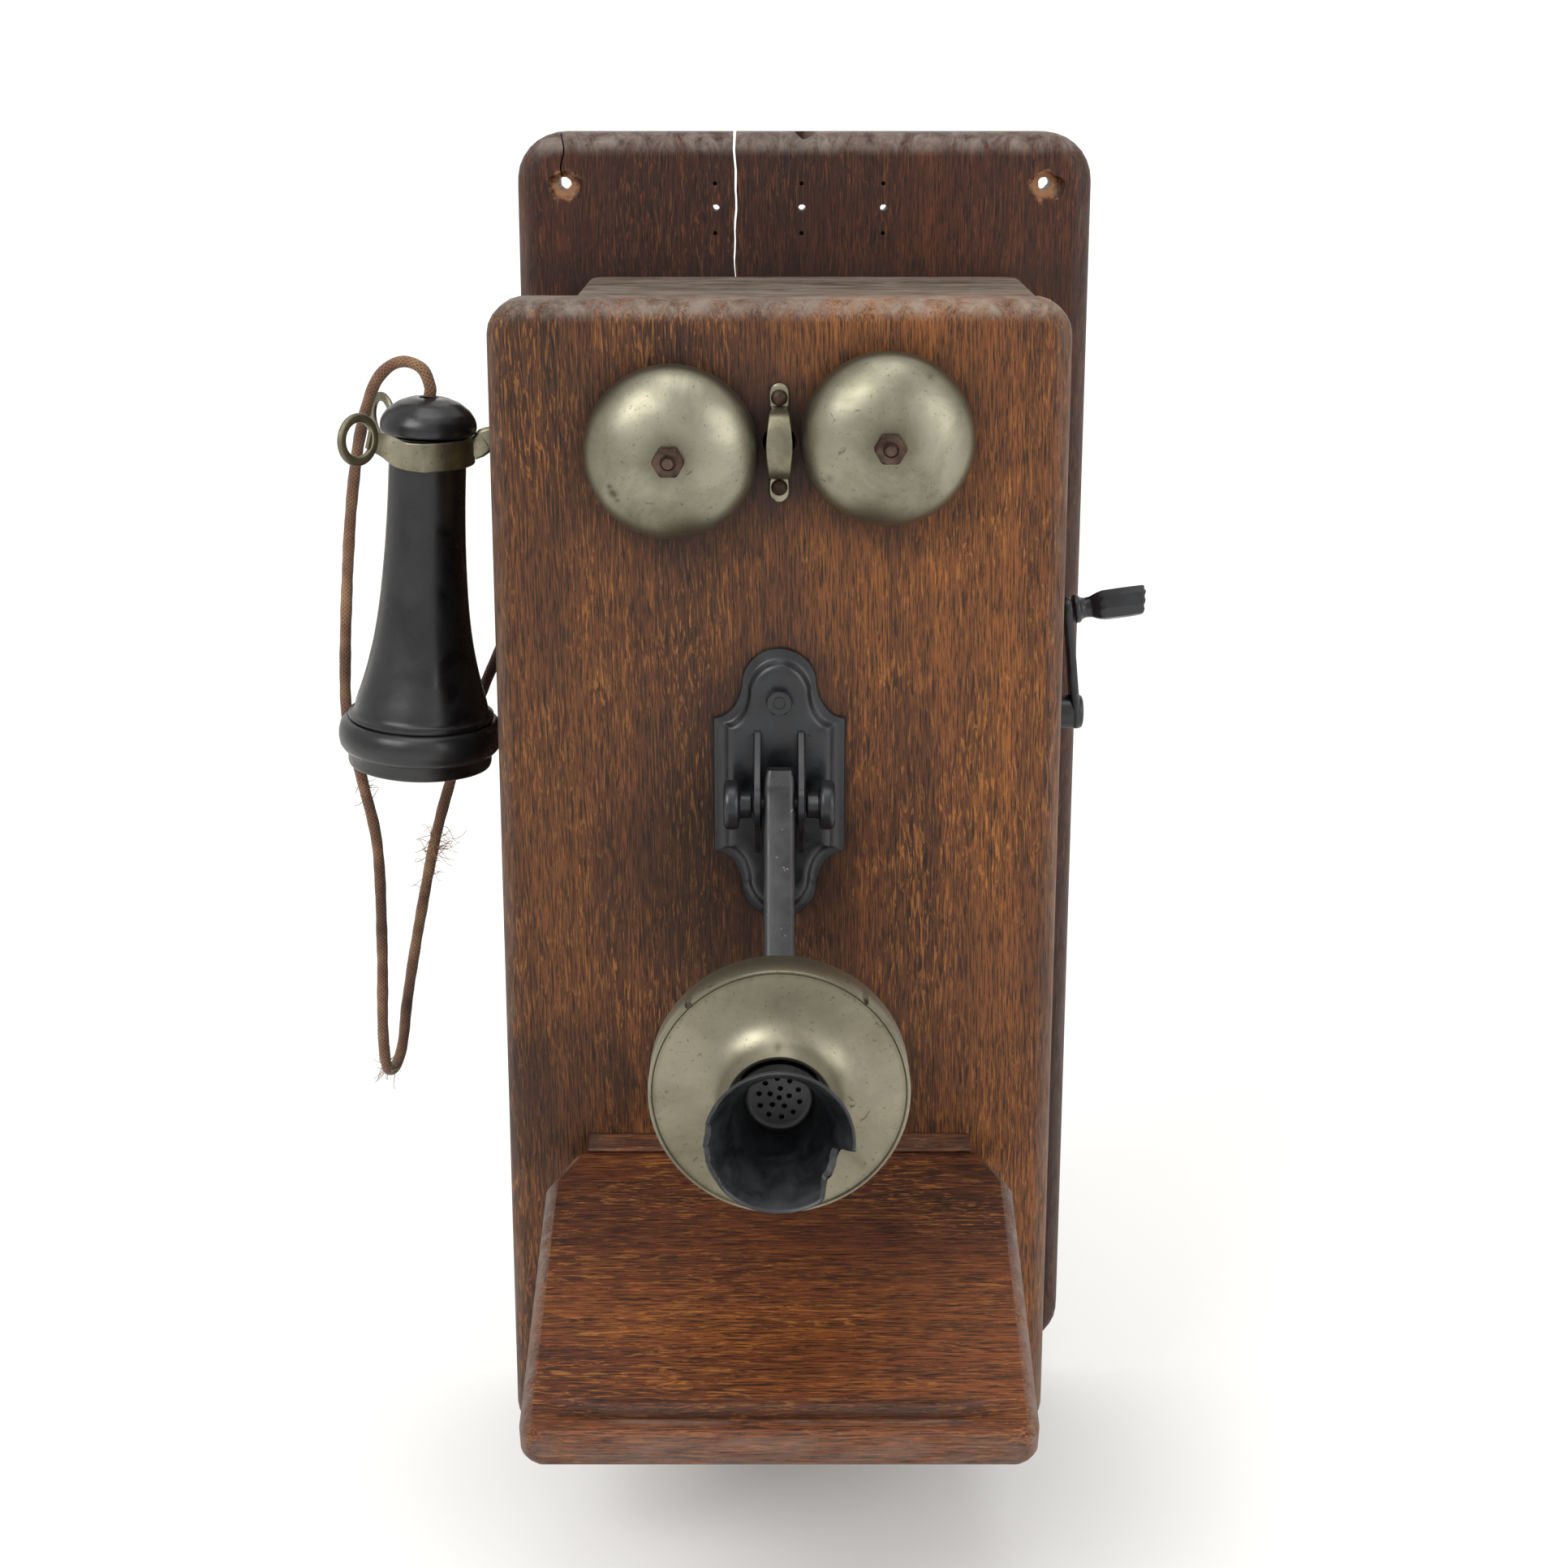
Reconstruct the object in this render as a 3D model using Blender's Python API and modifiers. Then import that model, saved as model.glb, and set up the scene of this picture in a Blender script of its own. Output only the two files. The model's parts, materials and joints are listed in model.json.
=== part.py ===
"""Wall crank telephone: an oak cabinet on a backboard, with its works. Metres, +Z up.

The back of the backboard is the plane y = 0, its centre is the origin, and the front looks along -Y.
"""
import math

import bmesh
import bpy
from mathutils import Euler, Matrix, Vector

for old in list(bpy.data.objects):
    bpy.data.objects.remove(old)

GAP = 0.0003  # between pieces that touch

BACKBOARD_WIDTH, BACKBOARD_HEIGHT, BACKBOARD_THICK = 0.240, 0.560, 0.018
BOX_WALL = 0.012
BOX_LEFT, BOX_RIGHT = -0.090, 0.090
BOX_BOTTOM, BOX_TOP = -0.216, 0.221
BOX_FRONT = -0.153
BOX_BACK = -BACKBOARD_THICK - GAP

DOOR_X = -0.0105  # the door and all that it carries are centred here
DOOR_WIDTH, DOOR_THICK = 0.211, 0.0197
DOOR_BOTTOM, DOOR_TOP = -0.228, 0.2265
DOOR_BACK = BOX_FRONT - GAP
DOOR_FACE = DOOR_BACK - DOOR_THICK
ON_DOOR = DOOR_FACE - GAP

HINGE_X, HINGE_Y = -0.0929, -0.1504
HINGE_KNUCKLE = 0.0026
HINGE_HEIGHTS = {"lower": -0.150, "upper": 0.150}

GONG_RADIUS, GONG_APART, GONG_Z = 0.0315, 0.0389, 0.1756
CLAPPER_Z, CLAPPER_PIVOT_Z, CLAPPER_Y = 0.1758, 0.1210, -0.133

TRANSMITTER_PIVOT = Vector((DOOR_X, -0.193, 0.045))
FACE_Y, FACE_Z, FACE_RADIUS = -0.279, -0.029, 0.04445

SHELF_WIDTH, SHELF_BACK_WIDTH, SHELF_THICK = 0.1765, 0.147, 0.015
SHELF_BACK_Z, SHELF_FRONT_Y, SHELF_FRONT_Z = -0.0947, -0.314, -0.1379
SHELF_STRIP, GROOVE_FROM_FRONT = 0.010, 0.0117

CRANK_Y, CRANK_Z, CRANK_RADIUS = -0.093, 0.0525, 0.0426
ARM_X, ARM_THICK, ARM_LEAN = 0.1095, 0.0034, math.radians(5.6)
KNOB_LEAN = math.radians(8)
KNOB_X = ARM_X - CRANK_RADIUS * math.tan(ARM_LEAN) + ARM_THICK / 2 + 2 * GAP
KNOB_FOOT = Vector((KNOB_X, CRANK_Y, CRANK_Z + CRANK_RADIUS))
GEAR_TEETH, PINION_TEETH, GEAR_MODULE = 60, 12, 0.0008
ARMATURE_Z = CRANK_Z - (GEAR_TEETH + PINION_TEETH) * GEAR_MODULE / 2

HOOK_PIVOT = Vector((-0.058, -0.116, 0.1693))
NECK_X, NECK_Y = -0.146, -0.116
RECEIVER_TOP = Vector((-0.1447, NECK_Y, 0.1840))
RECEIVER_LEAN = math.radians(3.4)

CORD_DIAMETER = 0.0046
CORD_HOLE = Vector((BOX_LEFT, -0.088, 0.117))

FACING_FRONT = (math.pi / 2, 0, 0)  # an outline's x and y become X and Z, and its thickness Y
SIDE_VIEW = (math.pi / 2, 0, math.pi / 2)  # its x and y become Y and Z, and its thickness X
FRONT, RIGHT, UP = (0, -1, 0), (1, 0, 0), (0, 0, 1)

PARTS = bpy.data.collections.new("wall_crank_telephone")
CUTTERS = bpy.data.collections.new("cutters")
for group in (PARTS, CUTTERS):
    bpy.context.scene.collection.children.link(group)


def look(name, colour, roughness, metallic=0.0):
    material = bpy.data.materials.new(name)
    material.use_nodes = True
    shader = material.node_tree.nodes["Principled BSDF"]
    shader.inputs["Base Color"].default_value = (*colour, 1)
    shader.inputs["Roughness"].default_value = roughness
    shader.inputs["Metallic"].default_value = metallic
    return material


OAK = look("oak", (0.15, 0.052, 0.018), 0.45)
PINE = look("pine", (0.42, 0.26, 0.12), 0.7)
NICKEL = look("nickel", (0.33, 0.31, 0.24), 0.38, 1.0)
BLACK_ENAMEL = look("black_enamel", (0.012, 0.013, 0.017), 0.35)
HARD_RUBBER = look("hard_rubber", (0.010, 0.010, 0.012), 0.4)
BRASS = look("brass", (0.50, 0.34, 0.12), 0.35, 1.0)
STEEL = look("steel", (0.30, 0.30, 0.30), 0.4, 1.0)
IRON = look("iron", (0.06, 0.06, 0.065), 0.55, 1.0)
COPPER_WIRE = look("green_silk_wire", (0.03, 0.10, 0.05), 0.7)
PAPER = look("card", (0.30, 0.20, 0.10), 0.85)
BRAID = look("brown_braid", (0.14, 0.07, 0.03), 0.9)


def add(name, data, material, joint=None):
    """Makes an object. One with no material is a cutter, or a lump to be joined on."""
    obj = bpy.data.objects.new(name, data)
    if material is None:
        CUTTERS.objects.link(obj)
        obj.hide_render = True
        obj.display_type = "WIRE"
    else:
        PARTS.objects.link(obj)
        data.materials.append(material)
    if joint is not None:
        obj.parent = joint
        obj.matrix_parent_inverse = Matrix.Translation(-joint.location)
    return obj


def joint_at(name, place, carrier=None):
    """An empty on a joint's axis, which carries the pieces that move with it."""
    empty = bpy.data.objects.new(name, None)
    empty.location = place
    PARTS.objects.link(empty)
    if carrier is not None:
        empty.parent = carrier
        empty.matrix_parent_inverse = Matrix.Translation(-carrier.location)
    return empty


def from_bmesh(name, bm, material, joint):
    mesh = bpy.data.meshes.new(name)
    bm.to_mesh(mesh)
    bm.free()
    return add(name, mesh, material, joint)


def round_edges(obj, width, segments=2):
    bevel = obj.modifiers.new("Rounded edges", "BEVEL")
    bevel.width = width
    bevel.segments = segments
    bevel.limit_method = "ANGLE"
    bevel.angle_limit = math.radians(40)
    return obj


def block(name, low, high, material, joint=None):
    """A box between two corners."""
    bm = bmesh.new()
    bmesh.ops.create_cube(bm, size=1.0)
    bmesh.ops.scale(bm, vec=Vector(high) - Vector(low), verts=bm.verts)
    obj = from_bmesh(name, bm, material, joint)
    obj.location = (Vector(high) + Vector(low)) / 2
    return obj


def rod(name, start, end, radius, material, joint=None, sides=24):
    """A cylinder or prism from one point to another."""
    start, end = Vector(start), Vector(end)
    size = {"radius1": radius, "radius2": radius, "depth": (end - start).length}
    bm = bmesh.new()
    bmesh.ops.create_cone(bm, cap_ends=True, segments=sides, **size)
    obj = from_bmesh(name, bm, material, joint)
    obj.location = (start + end) / 2
    obj.rotation_euler = (end - start).to_track_quat("Z", "Y").to_euler()
    return obj


def turned(name, profile, base, direction, material, joint=None, sides=40, ring=False):
    """A turned piece. Its profile holds (radius, height) pairs, down the outside from the top."""
    mesh = bpy.data.meshes.new(name)
    edges = [(i, i + 1) for i in range(len(profile) - 1)]
    if ring:
        edges.append((len(profile) - 1, 0))
    mesh.from_pydata([(radius, 0, height) for radius, height in profile], edges, [])
    obj = add(name, mesh, material, joint)
    obj.location = base
    obj.rotation_euler = Vector(direction).to_track_quat("Z", "Y").to_euler()
    screw = obj.modifiers.new("Turned", "SCREW")
    screw.steps = screw.render_steps = sides
    screw.use_merge_vertices = True
    screw.merge_threshold = 0.00001
    return obj


def arc(centre, radius, start, end, steps):
    """Points on an arc, from one angle to another in degrees."""
    angles = [math.radians(start + (end - start) * i / steps) for i in range(steps + 1)]
    return [(centre[0] + radius * math.cos(a), centre[1] + radius * math.sin(a)) for a in angles]


def rounded(width, height, radius, steps=6):
    """A rectangle's outline with round corners."""
    x, y = width / 2 - radius, height / 2 - radius
    corners = [((x, y), 0), ((-x, y), 90), ((-x, -y), 180), ((x, -y), 270)]
    return [p for centre, start in corners for p in arc(centre, radius, start, start + 90, steps)]


def plate(name, outline, thickness, place, turn, material, joint=None, holes=()):
    """A flat outline, extruded about its own plane and made a mesh with welded caps."""
    curve = bpy.data.curves.new(name, "CURVE")
    curve.dimensions = "2D"
    curve.fill_mode = "BOTH"
    curve.extrude = thickness / 2
    for ring in (outline, *holes):
        spline = curve.splines.new("POLY")
        spline.points.add(len(ring) - 1)
        spline.use_cyclic_u = True
        for point, (x, y) in zip(spline.points, ring):
            point.co = (x, y, 0, 1)
    source = bpy.data.objects.new(name, curve)
    bpy.context.scene.collection.objects.link(source)
    mesh = welded(source)
    bpy.data.objects.remove(source)
    obj = add(name, mesh, material, joint)
    obj.location = place
    obj.rotation_euler = turn
    return obj


def welded(curve_object):
    bpy.context.view_layer.update()
    evaluated = curve_object.evaluated_get(bpy.context.evaluated_depsgraph_get())
    mesh = bpy.data.meshes.new_from_object(evaluated)
    bm = bmesh.new()
    bm.from_mesh(mesh)
    bmesh.ops.remove_doubles(bm, verts=bm.verts, dist=0.00001)
    bmesh.ops.dissolve_limit(bm, angle_limit=0.01, verts=bm.verts, edges=bm.edges)
    bm.to_mesh(mesh)
    bm.free()
    return mesh


def round_front(obj, width, segments=3):
    """Rounds the outline's edge on the side that faces along the plate's own +Z."""
    bm = bmesh.new()
    bm.from_mesh(obj.data)
    edges = [e for e in bm.edges if min(v.co.z for v in e.verts) > 0 and e.calc_face_angle(0) > 0.7]
    bmesh.ops.bevel(bm, geom=edges, offset=width, segments=segments, profile=0.5, affect="EDGES")
    bm.to_mesh(obj.data)
    bm.free()
    return obj


def tube(name, points, radius, material, joint=None, resolution=2):
    curve = bpy.data.curves.new(name, "CURVE")
    curve.dimensions = "3D"
    curve.bevel_depth = radius
    curve.bevel_resolution = resolution
    curve.use_fill_caps = True
    spline = curve.splines.new("POLY")
    spline.points.add(len(points) - 1)
    for point, place in zip(spline.points, points):
        point.co = (*place, 1)
    return add(name, curve, material, joint)


def combine(obj, other, operation):
    boolean = obj.modifiers.new(operation.title(), "BOOLEAN")
    boolean.operation = operation
    boolean.object = other
    return obj


def cut(obj, *others):
    for other in others:
        combine(obj, other, "DIFFERENCE")
    return obj


def join(obj, *others):
    for other in others:
        combine(obj, other, "UNION")
    return obj


# Joints ------------------------------------------------------------------------------------------

DOOR = joint_at("door_joint", (HINGE_X, HINGE_Y, 0))
CLAPPER = joint_at("clapper_joint", (DOOR_X, CLAPPER_Y, CLAPPER_PIVOT_Z), DOOR)
TRANSMITTER = joint_at("transmitter_joint", TRANSMITTER_PIVOT, DOOR)
HOOK = joint_at("hook_joint", HOOK_PIVOT)
RECEIVER = joint_at("receiver_joint", RECEIVER_TOP)
CRANK = joint_at("crank_joint", (ARM_X, CRANK_Y, CRANK_Z))
KNOB = joint_at("knob_joint", KNOB_FOOT, CRANK)
ARMATURE = joint_at("armature_joint", (0.030, CRANK_Y, ARMATURE_Z))


# Backboard and box -------------------------------------------------------------------------------


def backboard():
    outline = rounded(BACKBOARD_WIDTH, BACKBOARD_HEIGHT, 0.020)
    middle = (0, -BACKBOARD_THICK / 2, 0)
    board = plate("backboard", outline, BACKBOARD_THICK, middle, FACING_FRONT, OAK)
    round_front(board, 0.0085)
    bores = [(x, 0.2590, 0.00275) for x in (-0.100, 0.100)]
    bores += [(x, 0.2490, 0.0016) for x in (-0.037, -0.001, 0.033)]
    for number, (x, z, radius) in enumerate(bores):
        bore = rod(f"backboard_bore_{number}", (x, -0.025, z), (x, 0.005, z), radius, None, sides=16)
        cut(board, bore)


def box():
    side_low, side_high = BOX_BOTTOM + BOX_WALL + GAP, BOX_TOP - BOX_WALL - GAP
    for name, x in (("box_left_side", BOX_LEFT), ("box_right_side", BOX_RIGHT - BOX_WALL)):
        low, high = (x, BOX_FRONT, side_low), (x + BOX_WALL, BOX_BACK, side_high)
        board = block(name, low, high, OAK)
        if x < 0:
            slot = block("hook_slot", (x - 0.01, -0.1200, 0.1625), (x + 0.02, -0.1120, 0.1830), None)
            hole = rod("cord_bore", CORD_HOLE - Vector((0.01, 0, 0)), CORD_HOLE + Vector((0.03, 0, 0)), 0.0032, None)
            cut(board, slot, hole)
        else:
            bore = rod("crank_bore", (x - 0.01, CRANK_Y, CRANK_Z), (x + 0.03, CRANK_Y, CRANK_Z), 0.0083, None)
            cut(board, bore)
    for name, z in (("box_top", BOX_TOP - BOX_WALL), ("box_bottom", BOX_BOTTOM)):
        low, high = (BOX_LEFT, BOX_FRONT, z), (BOX_RIGHT, BOX_BACK, z + BOX_WALL)
        block(name, low, high, OAK)


def hinges():
    """Two butt hinges: one leaf lies on the box's side, the other on the back of the door's edge."""
    for which, z in HINGE_HEIGHTS.items():
        low, high = z - 0.020, z + 0.020
        face = BOX_LEFT - GAP
        leaf = block(f"{which}_hinge_box_leaf", (face - 0.0014, -0.1490, low), (face, -0.1280, high), BRASS)
        relief_low, relief_high = (-0.0940, -0.1520, z - 0.0070), (-0.0890, -0.1474, z + 0.0070)
        cut(leaf, block(f"{which}_box_leaf_relief", relief_low, relief_high, None))
        for number, span in enumerate(((low, z - 0.007), (z + 0.007, high))):
            name = f"{which}_box_knuckle_{number}"
            ends = [(HINGE_X, HINGE_Y, level) for level in span]
            join(leaf, rod(name, *ends, HINGE_KNUCKLE, None, sides=20))
        bore = [(HINGE_X, HINGE_Y, low - 0.003), (HINGE_X, HINGE_Y, high + 0.003)]
        join(leaf, rod(f"{which}_hinge_pin", *bore, 0.0009, None, sides=12))
        back = DOOR_BACK + GAP
        low, high = (-0.1130, back, z - 0.020), (-0.0935, back + 0.0014, z + 0.020)
        door_leaf = block(f"{which}_hinge_door_leaf", low, high, BRASS, DOOR)
        ends = [(HINGE_X, HINGE_Y, z - 0.0067), (HINGE_X, HINGE_Y, z + 0.0067)]
        for side, edge in (("low", z - 0.0201), ("high", z + 0.0067)):
            corner = (-0.0985, back - 0.001, edge)
            relief = block(f"{which}_{side}_relief", corner, (-0.090, back + 0.006, edge + 0.0134), None, DOOR)
            cut(door_leaf, relief)
        join(door_leaf, rod(f"{which}_door_knuckle", *ends, HINGE_KNUCKLE, None, DOOR, sides=20))
        cut(door_leaf, rod(f"{which}_door_leaf_bore", *bore, 0.0012, None, DOOR, sides=16))


# Door, bells and shelf ---------------------------------------------------------------------------


def door():
    middle = (DOOR_X, (DOOR_BACK + DOOR_FACE) / 2, (DOOR_TOP + DOOR_BOTTOM) / 2)
    outline = rounded(DOOR_WIDTH, DOOR_TOP - DOOR_BOTTOM, 0.013)
    panel = plate("door", outline, DOOR_THICK, middle, FACING_FRONT, OAK, DOOR)
    round_front(panel, 0.0067)
    ends = [(DOOR_X, y, CLAPPER_Z) for y in (DOOR_FACE - 0.01, DOOR_BACK + 0.01)]
    cut(panel, rod("clapper_bore", *ends, 0.0060, None, DOOR, sides=24))


def gong(name, x, z):
    """A bell on its post, with a hexagonal nut in front."""
    shell = [(0.0024, 0.0262), (0.0120, 0.0258), (0.0190, 0.0238), (0.0255, 0.0196), (0.0298, 0.0135)]
    shell += [(GONG_RADIUS, 0.0045), (0.0298, 0.0045), (0.0283, 0.0130), (0.0244, 0.0182), (0.0118, 0.0241)]
    shell += [(0.0024, 0.0245)]
    foot = Vector((x, ON_DOOR, z))
    turned(f"{name}_gong", shell, foot, FRONT, NICKEL, DOOR, sides=22, ring=True)
    post = [(0, 0.0330), (0.0019, 0.0330), (0.0019, 0.0242), (0.0050, 0.0242), (0.0050, 0), (0, 0)]
    turned(f"{name}_gong_post", post, foot, FRONT, STEEL, DOOR, sides=20)
    nut = rod(f"{name}_gong_nut", foot + Vector(FRONT) * 0.0265, foot + Vector(FRONT) * 0.0312, 0.0062, IRON, DOOR, 6)
    ends = [foot + Vector(FRONT) * height for height in (0.020, 0.040)]
    cut(nut, rod(f"{name}_nut_bore", *ends, 0.0023, None, DOOR, sides=16))


def clapper_guard():
    """A strap bent over the clapper, with a round-headed screw in each foot."""
    outer = [(-0.0200, 0), (-0.0200, 0.0016), (-0.0125, 0.0016), (-0.0105, 0.0100), (-0.0070, 0.0140)]
    inner = [(-0.0055, 0.0124), (-0.0088, 0.0092), (-0.0110, 0)]
    right = [(-along, out) for along, out in outer[::-1] + inner[::-1]]
    side = [(-out, along) for along, out in outer + right + inner]
    place = (DOOR_X, ON_DOOR, CLAPPER_Z)
    guard = plate("clapper_guard", side, 0.0080, place, SIDE_VIEW, NICKEL, DOOR)
    for which, z in (("upper", 0.0163), ("lower", -0.0163)):
        head = [(0, 0.0014), (0.0014, 0.0013), (0.0026, 0.0004), (0.0027, -0.0006), (0, -0.0006)]
        foot = (DOOR_X, ON_DOOR - 0.0016, CLAPPER_Z + z)
        join(guard, turned(f"{which}_guard_screw", head, foot, FRONT, None, DOOR, sides=16))


def ringer():
    back = DOOR_BACK + GAP
    plate_low, plate_high = (DOOR_X - 0.040, back, 0.072), (DOOR_X + 0.040, back + 0.0025, 0.132)
    frame = block("ringer_frame", plate_low, plate_high, IRON, DOOR)
    low, high = (DOOR_X - 0.034, back + 0.001, 0.074), (DOOR_X + 0.034, -0.1230, 0.0768)
    join(frame, block("ringer_foot", low, high, None, DOOR))
    for which, x in (("left", DOOR_X - 0.022), ("right", DOOR_X + 0.022)):
        coil = [(0, 0.0390), (0.0035, 0.0390), (0.0035, 0.0365), (0.0098, 0.0365), (0.0098, 0.0345)]
        coil += [(0.0088, 0.0345), (0.0088, 0.0020), (0.0098, 0.0020), (0.0098, 0), (0, 0)]
        turned(f"{which}_ringer_coil", coil, (x, CLAPPER_Y, 0.0768 + GAP), UP, COPPER_WIRE, DOOR, sides=16)
    pivot = (DOOR_X, CLAPPER_Y, CLAPPER_PIVOT_Z)
    ends = [(DOOR_X, back + 0.0010, pivot[2]), (DOOR_X, -0.1240, pivot[2])]
    join(frame, rod("ringer_pivot_pin", *ends, 0.0012, None, DOOR, sides=12))
    low = (DOOR_X - 0.031, CLAPPER_Y - 0.006, CLAPPER_PIVOT_Z - 0.003)
    high = (DOOR_X + 0.031, CLAPPER_Y + 0.006, CLAPPER_PIVOT_Z + 0.003)
    bar = block("ringer_armature", low, high, IRON, CLAPPER)
    ends = [(DOOR_X, y, pivot[2]) for y in (CLAPPER_Y - 0.02, CLAPPER_Y + 0.02)]
    cut(bar, rod("armature_pivot_bore", *ends, 0.0015, None, CLAPPER, sides=16))
    ball = (DOOR_X, ON_DOOR - 0.0073, CLAPPER_Z)
    path = [(DOOR_X, CLAPPER_Y, CLAPPER_PIVOT_Z + 0.0033), (DOOR_X, CLAPPER_Y, CLAPPER_Z - 0.006)]
    path += [(DOOR_X, CLAPPER_Y - 0.002, CLAPPER_Z - 0.0015), (DOOR_X, CLAPPER_Y - 0.007, CLAPPER_Z)]
    path += [ball]
    tongue = tube("clapper_rod", path, 0.0011, STEEL, CLAPPER)
    mesh = welded(tongue)
    bpy.data.objects.remove(tongue)
    tongue = add("clapper", mesh, STEEL, CLAPPER)
    bm = bmesh.new()
    bmesh.ops.create_uvsphere(bm, u_segments=12, v_segments=8, radius=0.0042)
    knob = from_bmesh("clapper_ball", bm, None, CLAPPER)
    knob.location = ball
    join(tongue, knob)


def shelf():
    """A sloping board with cut back corners and a pencil groove, and the strip behind it."""
    back = Vector((DOOR_X, ON_DOOR, SHELF_BACK_Z))
    front = Vector((DOOR_X, SHELF_FRONT_Y, SHELF_FRONT_Z))
    slope = math.atan2(back.z - front.z, back.y - front.y)
    down = SHELF_THICK / math.cos(slope)
    reach = SHELF_STRIP * math.cos(slope)
    drop = SHELF_STRIP * math.sin(slope)
    side = [(0, 0), (0, -down), (-reach + 0.0044, -drop - down + 0.0014), (-reach, -drop)]
    plate("shelf_back_strip", side, SHELF_BACK_WIDTH, back, SIDE_VIEW, OAK, DOOR)
    long = (front - back).length
    half, half_back = SHELF_WIDTH / 2, SHELF_BACK_WIDTH / 2 + 0.0055
    start = SHELF_STRIP + GAP
    outline = [(half_back, -start), (-half_back, -start), (-half, -0.027)]
    outline += arc((-half + 0.011, -long + 0.011), 0.011, 180, 270, 6)
    outline += arc((half - 0.011, -long + 0.011), 0.011, 270, 360, 6)
    outline += [(half, -0.027)]
    turn = (slope, 0, 0)
    under = Vector((0, math.sin(slope), -math.cos(slope))) * SHELF_THICK / 2
    board = plate("shelf", outline, SHELF_THICK, back + under, turn, OAK, DOOR)
    round_front(board, 0.0040, 2)
    bm = bmesh.new()
    bmesh.ops.create_uvsphere(bm, u_segments=20, v_segments=14, radius=1.0)
    bmesh.ops.scale(bm, vec=(0.0042, 0.0028, 0.083), verts=bm.verts)
    groove = from_bmesh("pencil_groove", bm, None, DOOR)
    along = Vector((0, -math.cos(slope), -math.sin(slope)))
    groove.location = back + along * (long - GROOVE_FROM_FRONT)
    groove.rotation_euler = (0, math.pi / 2, 0)
    cut(board, groove)


# Transmitter -------------------------------------------------------------------------------------


def bracket_outline(inset):
    """A plate with a round lobe at each end, joined to its straight middle by hollow shoulders."""
    half, top, shoulder = 0.0245 - inset, 0.0526 - inset, 0.0260
    lobe = 0.0140 - inset * 0.6
    quarter = arc((0, top - lobe), lobe, 90, 12, 5)
    reach = half - quarter[-1][0]
    rise = quarter[-1][1] - shoulder
    for i in range(1, 5):
        t = math.pi / 2 * i / 4
        quarter.append((half - reach * math.cos(t), quarter[5][1] - rise * math.sin(t)))
    lower = [(x, -z) for x, z in reversed(quarter)]
    right = quarter + lower
    return right + [(-x, z) for x, z in reversed(right[1:-1])]


def bracket():
    """The plate on the door, with two ears that hold the pivot bolt."""
    middle_z = 0.0469
    place = Vector((DOOR_X, ON_DOOR - 0.0011, middle_z))
    base = plate("transmitter_bracket", bracket_outline(0), 0.0022, place, FACING_FRONT, BLACK_ENAMEL, DOOR)
    place = Vector((DOOR_X, ON_DOOR - 0.0030, middle_z))
    join(base, plate("bracket_rise", bracket_outline(0.006), 0.0040, place, FACING_FRONT, None, DOOR))
    pivot = TRANSMITTER_PIVOT
    for which, x in (("left", -0.00805), ("right", 0.00805)):
        ear = [(-0.1765, 0.0220), (-0.1765, 0.0690), (-0.1890, 0.0590)]
        ear += arc((pivot.y, pivot.z), 0.0085, 125, 235, 5)
        ear += [(-0.1890, 0.0310)]
        join(base, plate(f"{which}_ear", ear, 0.0032, (DOOR_X + x, 0, 0), SIDE_VIEW, None, DOOR))
    ends = [pivot - Vector((0.02, 0, 0)), pivot + Vector((0.02, 0, 0))]
    cut(base, rod("pivot_bolt_bore", *ends, 0.0029, None, DOOR, sides=20))
    half = [(0, 0.0200), (0.0085, 0.0200), (0.0090, 0.0192), (0.0090, 0.0150), (0.0085, 0.0142)]
    half += [(0.0048, 0.0142), (0.0048, 0.0100), (0.0026, 0.0100)]
    whole = half + [(radius, -height) for radius, height in reversed(half)]
    turned("pivot_bolt", whole, pivot, RIGHT, BLACK_ENAMEL, DOOR, sides=18)
    for which, z in (("upper", 0.0805), ("lower", 0.0125)):
        ends = [(DOOR_X, ON_DOOR - height, z) for height in (0.0053, 0.0093)]
        rod(f"{which}_bracket_nut", *ends, 0.0052, BLACK_ENAMEL, DOOR, sides=6)


def transmitter_arm():
    """A bar that runs from the pivot, down and forward, to the back of the transmitter."""
    p = TRANSMITTER_PIVOT
    front = [(-0.1960, 0.0600), (-0.2000, 0.0450), (-0.2160, 0.0220), (-0.2400, -0.0060), (-0.2520, -0.0200)]
    back = [(-0.2520, -0.0330), (-0.2440, -0.0270), (-0.2300, -0.0090), (-0.2060, 0.0180), (-0.1870, 0.0380)]
    outline = front + back + [(-0.1865, 0.0520), (-0.1895, 0.0610)]
    bar = plate("transmitter_arm", outline, 0.0114, (DOOR_X, 0, 0), SIDE_VIEW, BLACK_ENAMEL, TRANSMITTER)
    round_edges(bar, 0.0016)
    ends = [p - Vector((0.02, 0, 0)), p + Vector((0.02, 0, 0))]
    cut(bar, rod("arm_bore", *ends, 0.0029, None, TRANSMITTER, sides=20))


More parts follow.
